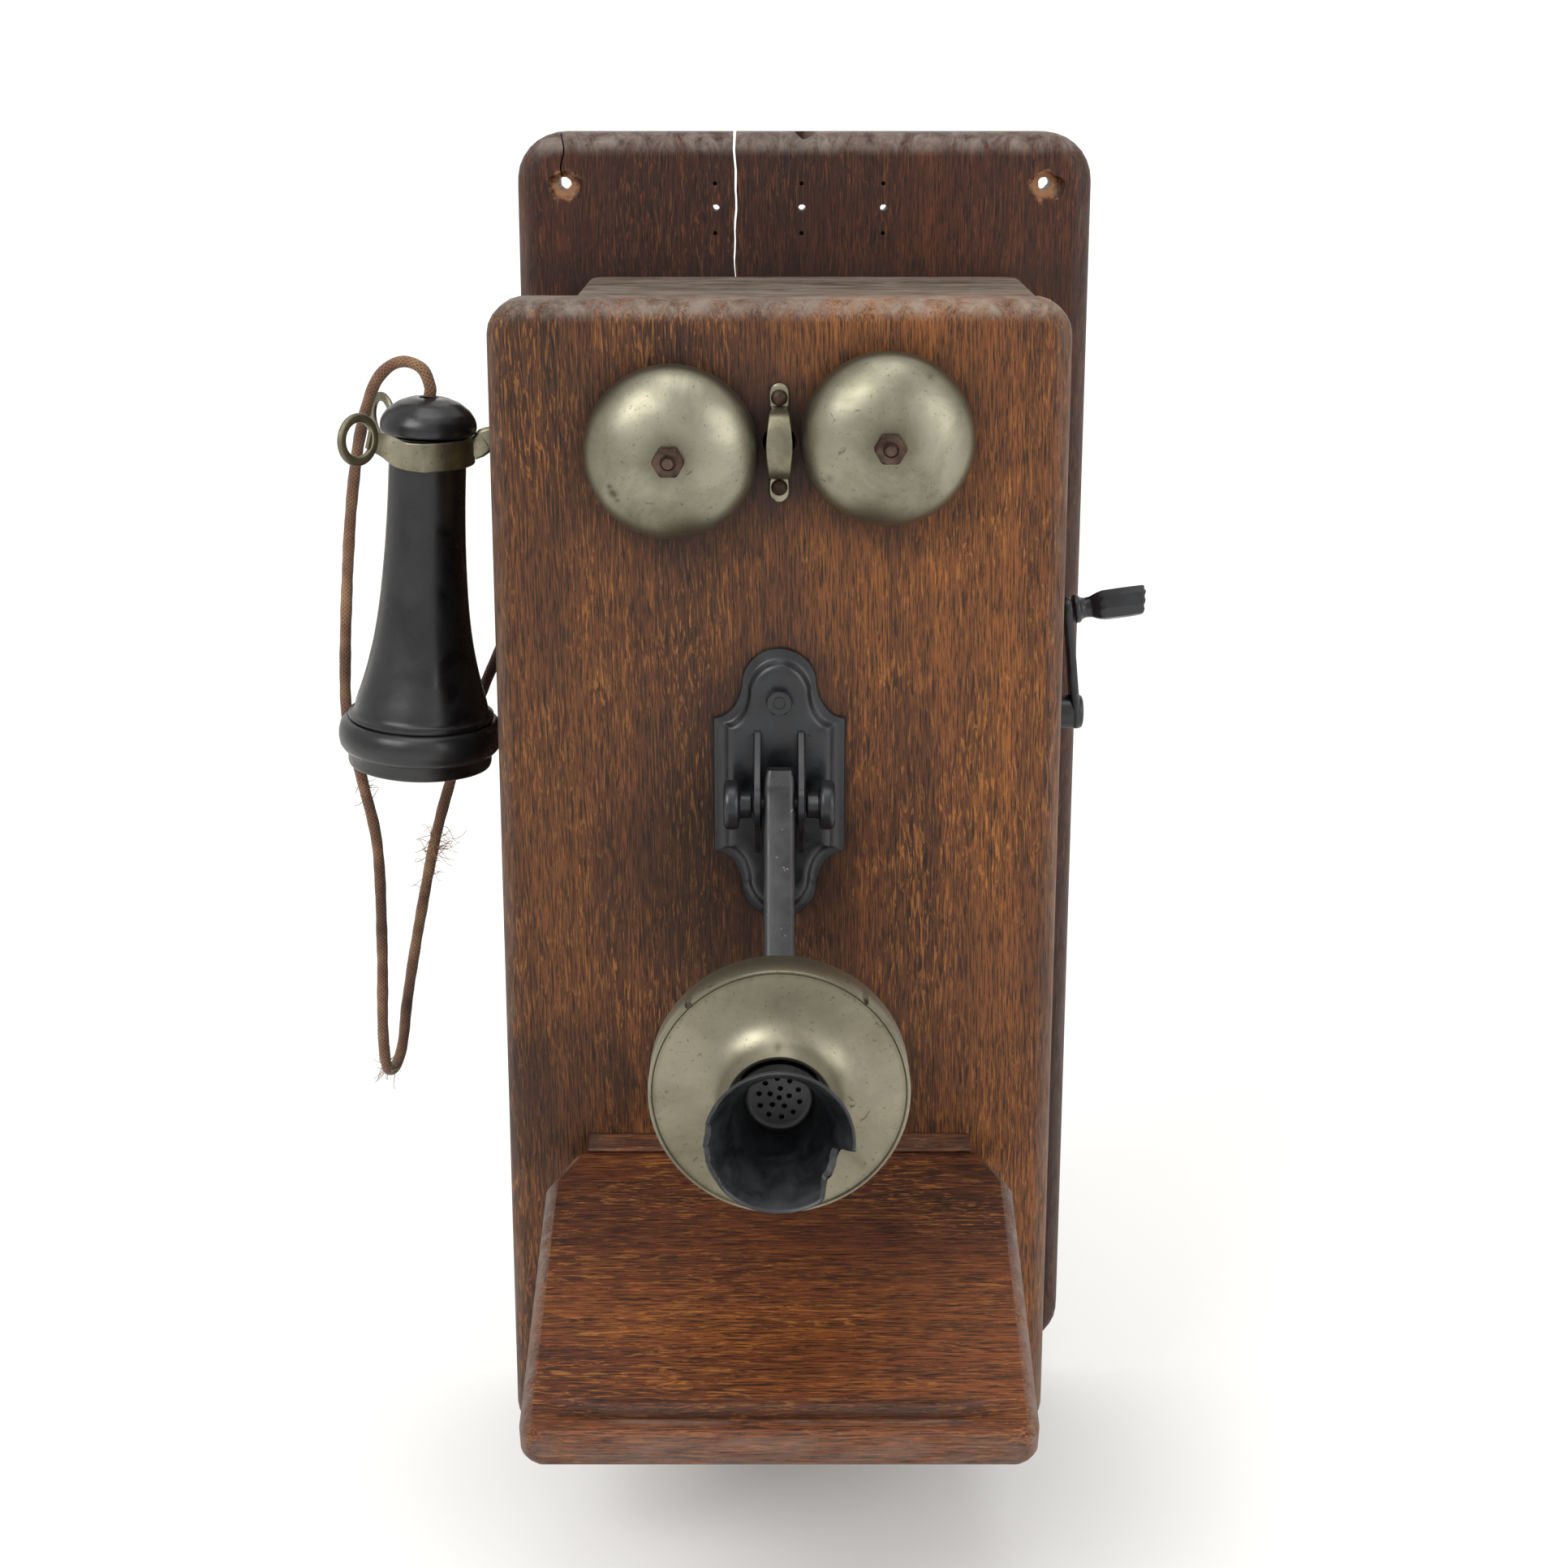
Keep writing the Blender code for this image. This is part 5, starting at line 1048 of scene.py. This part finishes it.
def transmitterPieces():
    face = np.array(transmitterFacts["face"])
    cup = [(0, -0.0262), (0.0300, -0.0260), (0.0372, -0.0250), (0.0404, -0.0215), (0.0416, -0.0170),
        (0.0420, -0.0120), (0.0422, -0.0040), (0.0422, -0.0012), (0.0404, -0.0012), (0.0398, -0.0185),
        (0.0366, -0.0226), (0, -0.0240)]
    makePiece("nickelCup", [turnedParts(softProfile(cup, rounding=0.0015), face, (0, -1, 0), 128)],
        faceNickel, "transmitter", ["transmitter_cup"])
    # the face: flat near its rim, then a smooth rise like a bell's mouth up to the collar
    t = np.linspace(0, 1, 46)
    radius = 0.0428 - (0.0428 - 0.0182) * t
    height = 0.0010 + 0.0020 * t + 0.0095 * t ** 5
    rim = [(0.0428, 0.0010), (0.0434, 0.0017), (0.0440, 0.0018), (0.04445, 0.0011), (0.04445, -0.0120),
        (0.0440, -0.0130), (0.0427, -0.0130), (0.0427, -0.0009)]
    outer = np.stack([radius, height], 1)
    inner = [(0.0310, 0.0010), (0.0230, 0.0024), (0.0182, 0.0060), (0.0168, 0.0118), (0.0174, 0.0124)]
    profile = np.vstack([outer[::-1], rim, inner])
    plate = makePiece("nickelFace", [turnedParts(profile, face, (0, -1, 0), 160, True)], faceNickel,
        "transmitter", ["transmitter_face"], sharp=50)
    notches = []
    for x, z in ((-0.0307, 0.0322), (0.0292, 0.0335)):
        place = face + np.array([x, 0, z])
        notches.append(boreParts(place + [0, 0.002, 0], place - [0, 0.004, 0], 0.0013, 16, 0.2))
    cutWith(plate, notches, "faceNotches")
    p = pointsOf(plate) - face
    reach = np.hypot(p[:, 0], p[:, 2])
    # painted shade: darker in the crease round the foot of the collar and in the crease at the rim, with a darker
    # spot at the top of the collar's foot
    markPiece(plate, grime=0.35 * hollow(reach, 0.0205, 0.0012) + 0.25 * hollow(reach, 0.0424,
        0.0006) + 0.5 * hollow(np.hypot(p[:, 0] + 0.0005, p[:, 2] - 0.0200), 0, 0.0012))
    mouthpiecePiece(face)


def mouthpiecePiece(face):
    # a horn: its wall swells to a bead at the mouth; a grille of holes closes its throat;
    # a bite is gone from the rim
    inside = [(0, 0.0048), (0.0108, 0.0046), (0.0117, 0.0056), (0.0122, 0.0090), (0.0134, 0.0160),
        (0.0158, 0.0240), (0.0196, 0.0320), (0.0224, 0.0372), (0.0236, 0.0392)]
    bead = [(0.0240, 0.0399), (0.0246, 0.0400), (0.0249, 0.0394), (0.0246, 0.0380)]
    outside = [(0.0226, 0.0340), (0.0196, 0.0285), (0.0174, 0.0230), (0.0163, 0.0170), (0.0160, 0.0128),
        (0.0140, 0.0122), (0.0140, 0.0010), (0, 0.0010)]
    horn = evenly(softProfile(inside + bead + outside, rounding=0.0012), 150)
    steps = 220

    def roughRim(radius, height, turn):
        # where pieces have broken off, points past the broken line are drawn back to it
        broken = 0.0401 + 0 * turn
        for at, wide, deep in ((0.10, 0.20, 0.0030), (6.12, 0.12, 0.0022), (5.80, 0.18, 0.0014),
                (0.55, 0.14, 0.0010)):
            broken = broken - deep * np.exp(-((turn - at) / wide) ** 2)
        ragged = 0.00022 * np.sin(turn * 23) + 0.00014 * np.sin(turn * 41 + 1)
        gap = np.exp(-((turn - biteAt) / 0.36) ** 6)
        broken = broken - (0.0092 - 0.0016 * np.sin((turn - biteAt) * 6) - 0.0006 * np.sin(turn * 17)) * gap
        broken = broken + ragged * (broken < 0.0397)
        over = np.maximum(height - broken, 0)
        return radius - over * 0.40, height - over

    biteAt = 3.68
    parts = [turnedParts(horn, face, (0, -1, 0), steps, False, roughRim)]
    piece = makePiece("rubberMouthpiece", parts, mouthRubber, "transmitter", ["mouthpiece"], sharp=60)
    holes = []
    for count, reach in ((1, 0), (5, 0.0034), (10, 0.0070)):
        for i in range(count):
            turn = 2 * np.pi * i / count + reach * 60
            at = face + np.array([reach * np.cos(turn), 0, reach * np.sin(turn)])
            holes.append(boreParts(at - [0, 0.0018, 0], at - [0, 0.0090, 0], transmitterFacts["holeRadius"],
                14))
    cutWith(piece, holes, "grilleHoles")
    piece.data.set_sharp_from_angle(angle=math.radians(50))


faceNickel = wornMetal("tarnishedFaceNickel", "8a8573", "6f6a59", "453e30", 0.42, 34)
mouthRubber = blackCoat("chippedHardRubber", "0d0e10", "25272b", "4f4b44", 0.36, 10.0, 0.8)
transmitterPieces()
print("transmitter made")

# receiver: three turned pieces of hard rubber on one leaning axis
receiverFacts = {"top": (-0.1447, -0.116, 0.1840), "lean": 3.4}


def receiverPieces():
    top = np.array(receiverFacts["top"])
    lean = math.radians(receiverFacts["lean"])
    axis = np.array([math.sin(lean), 0, math.cos(lean)])
    cap = [(0.0032, -0.0020), (0.0036, 0.0000), (0.0070, -0.0002), (0.0118, -0.0020), (0.0160, -0.0052),
        (0.0180, -0.0082), (0.0186, -0.0105), (0.0184, -0.0130), (0.0172, -0.0140),
           (0.0120, -0.0142), (0.0034, -0.0142), (0.0032, -0.0100)]
    makePiece("rubberTailCap", [turnedParts(softProfile(cap + cap[:1], rounding=0.0012)[:-1], top, axis, 96,
        True)], hardRubber, "receiver", ["receiver_tail_cap"])
    t = np.linspace(0, 1, 70)
    # the shell: nearly straight for two thirds, then a flare like a bell's mouth
    depth = -0.0150 - (0.1240 - 0.0150) * t
    radius = np.interp(-depth, [0.015, 0.042, 0.060, 0.080, 0.092, 0.102, 0.112, 0.1205, 0.1262],
        [0.0148, 0.0150, 0.0157, 0.0172, 0.0187, 0.0205, 0.0229, 0.0256, 0.0280])
    soft = np.convolve(np.pad(radius, 4, mode="edge"), np.ones(9) / 9, mode="valid")
    outer = np.stack([soft, depth], 1)
    paintedGrooveHighlight = [(0.0270, -0.1246), (0.0284, -0.1252), (0.0286, -0.1262), (0.0284, -0.1270), (0.0264, -0.1270)]
    inner = [(0.0250, -0.1225), (0.0212, -0.1110), (0.0152, -0.0850), (0.0128, -0.0420), (0.0128, -0.0180),
        (0.0136, -0.0148), (0.0144, -0.0148)]
    makePiece("rubberShell", [turnedParts(np.vstack([outer, paintedGrooveHighlight, inner]), top, axis, 128, True)], hardRubber,
        "receiver", ["receiver_shell"], sharp=50)
    ear = [(0.0266, -0.1273), (0.0285, -0.1273), (0.0300, -0.1278), (0.0315, -0.1296), (0.0321, -0.1325),
        (0.0321, -0.1350), (0.0315, -0.1378), (0.0302, -0.1396), (0.0286, -0.1404),
           (0.0283, -0.1410), (0.0282, -0.1448), (0.0278, -0.1459), (0.0266, -0.1464), (0.0240, -0.1460),
           (0.0150, -0.1438), (0.0052, -0.1408), (0.0050, -0.1402), (0.0052, -0.1394), (0.0150, -0.1400),
           (0.0262, -0.1385)]
    makePiece("rubberEarCap", [turnedParts(np.array(ear), top, axis, 128, True)], hardRubber, "receiver",
        ["receiver_ear_cap"], sharp=50)
    return top, axis


def hookPieces():
    # the fork: a strap standing on edge that runs from one ring round the neck to the other
    neck = np.array([-0.146, -0.116])
    a = np.radians(np.linspace(-90, 90, 15))
    round_ = np.stack([0.0173 * np.cos(a), 0.0173 * np.sin(a)], 1)
    far = np.array([(-0.0070, 0.0174), (-0.0120, 0.0186), (-0.0165, 0.0215), (-0.0185, 0.0241)])
    plan = np.vstack([far[::-1] * [1, -1], round_, far])
    z = np.concatenate([[0.1714, 0.1702, 0.1676, 0.1643], np.full(15, 0.1632),
        [0.1643, 0.1676, 0.1702, 0.1714]])
    high = np.concatenate([[0.0070, 0.0078, 0.0092, 0.0104], 0.0104 + 0.0008 * np.abs(np.sin(a)),
        [0.0104, 0.0092, 0.0078, 0.0070]])
    line = smoothLine(np.column_stack([plan + neck, z, high]), 160)
    sizes = np.stack([np.ones(160), line[:, 3] / 0.010], 1)
    section = roundSection(0.0016, 0.010, 0.0006)
    side = np.gradient(line[:, :3], axis=0)
    across = np.stack([side[:, 1], -side[:, 0], 0 * side[:, 0]], 1)
    parts = [carried(line[:, :3], section, across, sizes)]
    for sign in (-1, 1):
        centre = np.array([neck[0] - 0.0216, neck[1] + sign * 0.0283, 0.1720])
        angle = sign * math.radians(53)
        flat = np.array([-math.cos(angle), math.sin(abs(angle)) * sign, 0])
        turn = np.linspace(0, 2 * np.pi, 72, endpoint=False)
        circle = centre + 0.0082 * (np.cos(turn)[:, None] * flat + np.sin(turn)[:,
            None] * np.array([0, 0, 1.0]))
        outward = unit(circle - centre)
        parts.append(carried(circle, roundSection(0.0036, 0.0021, 0.0009), outward, None, True))
    shank = smoothLine([(neck[0] + 0.0172, neck[1], 0.1634), (neck[0] + 0.0210, neck[1], 0.1652),
        (neck[0] + 0.0260, neck[1], 0.1685), (-0.0800, neck[1], 0.1693), (-0.0450, neck[1], 0.1693)], 60)
    wide = np.interp(np.linspace(0, 1, 60), [0, 0.06, 0.2, 1], [0.9, 1.0, 1.0, 1.0])
    parts.append(carried(shank, roundSection(0.0048, 0.0085, 0.0014), (0, 1, 0), np.stack([wide, wide], 1)))
    makePiece("nickelHook", parts, nickel, "hook", ["receiver_hook"], sharp=45)


receiverPieces()
hookPieces()
print("receiver and hook made")

# crank: a flat iron arm on a round hub, and a turned eight-sided handle with a broken end
crankFacts = {"y": -0.093, "z": 0.0525, "armX": 0.1095, "lean": 5.6, "reach": 0.0426, "knobLean": 8.0}


def crankPieces():
    facts = crankFacts
    lean = math.radians(facts["lean"])
    foot = np.array([facts["armX"], facts["y"], facts["z"]])
    along, out = np.array([-math.sin(lean), 0, math.cos(lean)]), np.array([math.cos(lean), 0, math.sin(lean)])
    a, b = np.radians(np.linspace(180, 360, 24)), np.radians(np.linspace(0, 180, 24))
    lower = 0.0070 * np.stack([np.cos(a), np.sin(a)], 1)
    upper = 0.0050 * np.stack([np.cos(b), np.sin(b)], 1) + [0, facts["reach"]]
    waist = np.array([(0.0050, 0.010), (0.0042, 0.021), (0.0040, 0.032)])
    outline = evenly(np.vstack([lower, waist, upper, waist[::-1] * [-1, 1]]), 160, closed=True)
    outline = outline if ((outline * np.roll(outline, -1, 0)[:, ::-1] * [1, -1]).sum() > 0) else outline[::-1]
    half = 0.0017
    middle = np.column_stack([0 * outline[:, 0], np.clip(outline[:, 1], 0, facts["reach"])])
    rows = [(0.0, -half), (0.5, -half), (0.86, -half), (0.96, -half * 0.8), (1.0, -half * 0.4),
        (1.0, half * 0.4), (0.96, half * 0.8), (0.86, half), (0.5, half), (0.0, half)]
    grid = np.stack([foot + (middle + (outline - middle) * s)[:,
        :1] * np.array([0, 1.0, 0]) + (middle + (outline - middle) * s)[:, 1:] * along + h * out for s,
        h in rows])
    parts = [gridParts(grid, True)]
    hub = [(0.0044, -0.0157), (0.0062, -0.0157), (0.0068, -0.0150), (0.0068, 0.0015), (0.0064, 0.0026),
        (0.0050, 0.0030), (0, 0.0030), (0, -0.0100), (0.0044, -0.0100)]
    parts.append(turnedParts(softProfile(hub, rounding=0.0004), foot, (1, 0, 0), 64, True))
    makePiece("enamelCrankArm", parts, enamel, "crank", ["crank_arm"])
    knobLean = math.radians(facts["knobLean"])
    axis = np.array([math.cos(knobLean), 0, math.sin(knobLean)])
    knobFoot = np.array([facts["armX"] - facts["reach"] * math.tan(lean) + 0.0017 + 0.0006, facts["y"],
        facts["z"] + facts["reach"]])
    profile = [(0, 0), (0.0054, 0), (0.0058, 0.0008), (0.0056, 0.0022), (0.0044, 0.0032), (0.0040, 0.0048),
        (0.0042, 0.0070), (0.0056, 0.0104), (0.0060, 0.0120), (0.0061, 0.0200), (0.0060, 0.0262),
               (0.0058, 0.0274), (0.0050, 0.0270), (0.0034, 0.0238), (0.0018, 0.0226), (0, 0.0222)]

    def eightSided(radius, height, turn):
        # an octagon past the neck, and an end that has broken away at one side
        reach = np.cos(np.pi / 8) / np.cos((turn % (np.pi / 4)) - np.pi / 8)
        share = ramp(height, 0.0095, 0.0125)
        ragged = 0.0030 * np.sin(turn + 0.9) - 0.0010 * np.cos(2 * turn) + 0.0004 * np.sin(9 * turn)
        return radius * (1 - share + share * reach * 1.02), height + ragged * ramp(height, 0.0200,
            0.0262) * 0.55

    makePiece("enamelCrankHandle", [turnedParts(softProfile(profile, rounding=0.0005), knobFoot, axis, 96,
        False, eightSided)], enamel, "handle", ["crank_handle"], sharp=24)


crankPieces()
print("crank made")

# frays: loose cotton ends where the braid has worn through, each a fine thread that curls away
frayFacts = {"spots": ((-0.1835, 0.020, 20, 0.006, 1), (-0.1625, -0.008, 42, 0.011, 1),
    (-0.1560, -0.020, 18, 0.006, 1), (-0.1745, -0.1035, 22, 0.007, -1)), "thread": 0.00016, "seed": 7}


def cordFrays():
    chance = np.random.default_rng(frayFacts["seed"])
    parts = []
    ahead, side, up = tubeFrames(cordPath)
    for x, z, count, reach, facing in frayFacts["spots"]:
        away = np.abs(cordPath[:, 2] - z) + 0.6 * np.abs(cordPath[:, 0] - x)
        at = int(np.argmin(away))
        for _ in range(count):
            i = int(np.clip(at + chance.normal(0, 5), 1, len(cordPath) - 2))
            turn = chance.uniform(0, 2 * np.pi)
            out = np.cos(turn) * side[i] + np.sin(turn) * up[i] + np.array([0.5 * facing, 0, 0])
            out = unit(out)
            start = cordPath[i] + out * 0.0019
            curl = unit(np.cross(out, chance.normal(0, 1, 3)))
            t = np.linspace(0, 1, 9)[:, None]
            long = reach * chance.uniform(0.35, 1.0)
            bend = chance.uniform(1.0, 4.5)
            line = (start + out * long * t * 0.8 + curl * long * 0.32 * (1 - np.cos(bend * t))
                    + ahead[i] * long * 0.25 * np.sin(bend * t) * chance.uniform(-1, 1))
            parts.append(tubeParts(line, frayFacts["thread"] * (1 - 0.4 * t[:, 0]), 4))
    frays = makePiece("cordFrays", parts, frayCotton, None, [])
    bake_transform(frays)


frayCotton = plainStock("frayedCotton", "6b4c36", "a08264", 2.0, 0.9)
cordFrays()
print("frays made")

# studio: a pale floor that runs up behind as one sheet, and soft lights all round
studio = {"floorZ": -0.30, "floorTone": "f4f3f1", "world": 0.85}


def studioSheet():
    # a flat floor that turns up into a wall in one quarter circle
    turn = np.radians(np.linspace(0, 90, 24))
    y = np.concatenate([[-6.0], 0.6 + 0.9 * np.sin(turn), [1.5]])
    z = np.concatenate([[0], 0.9 * (1 - np.cos(turn)), [6.0]]) + studio["floorZ"]
    x = np.linspace(-6, 6, 3)
    grid = np.stack(np.broadcast_arrays(x[None, :], y[:, None], z[:, None]), axis=-1)
    mesh = bpy.data.meshes.new("studioSheet")
    points, faces = gridParts(grid, closedU=False)
    mesh.from_pydata(points.tolist(), [], faces)
    mesh.shade_smooth()
    floor = bpy.data.objects.new("studioSheet", mesh)
    bpy.context.scene.collection.objects.link(floor)
    paper, _, shader = newMaterial("whiteBackdropPaper", Roughness=0.9)
    shader.inputs["Base Color"].default_value = linear(studio["floorTone"])
    floor.data.materials.append(paper)


def softLamp(name, place, target, size, power, colour=(1, 1, 1)):
    lamp = bpy.data.objects.new(name, bpy.data.lights.new(name, "AREA"))
    lamp.data.shape, lamp.data.size, lamp.data.energy, lamp.data.color = "SQUARE", size, power, colour
    lamp.location = place
    lamp.rotation_euler = (Vector(target) - Vector(place)).to_track_quat("-Z", "Y").to_euler()
    bpy.context.scene.collection.objects.link(lamp)


studioSheet()
softLamp("keyLamp", (-1.1, -1.5, 1.5), (0, -0.1, 0.02), 1.2, 26)
softLamp("fillLamp", (1.5, -1.3, 0.7), (0, -0.1, 0.0), 1.4, 14)
softLamp("topLamp", (0.0, -0.4, 1.9), (0, -0.1, 0.0), 1.2, 10)
world = bpy.data.worlds.new("softWorld")
world.use_nodes = True
world.node_tree.nodes["Background"].inputs[0].default_value = (1, 1, 1, 1)
world.node_tree.nodes["Background"].inputs[1].default_value = studio["world"]
bpy.context.scene.world = world
bpy.context.scene.view_settings.view_transform = "Standard"
print("studio ready")
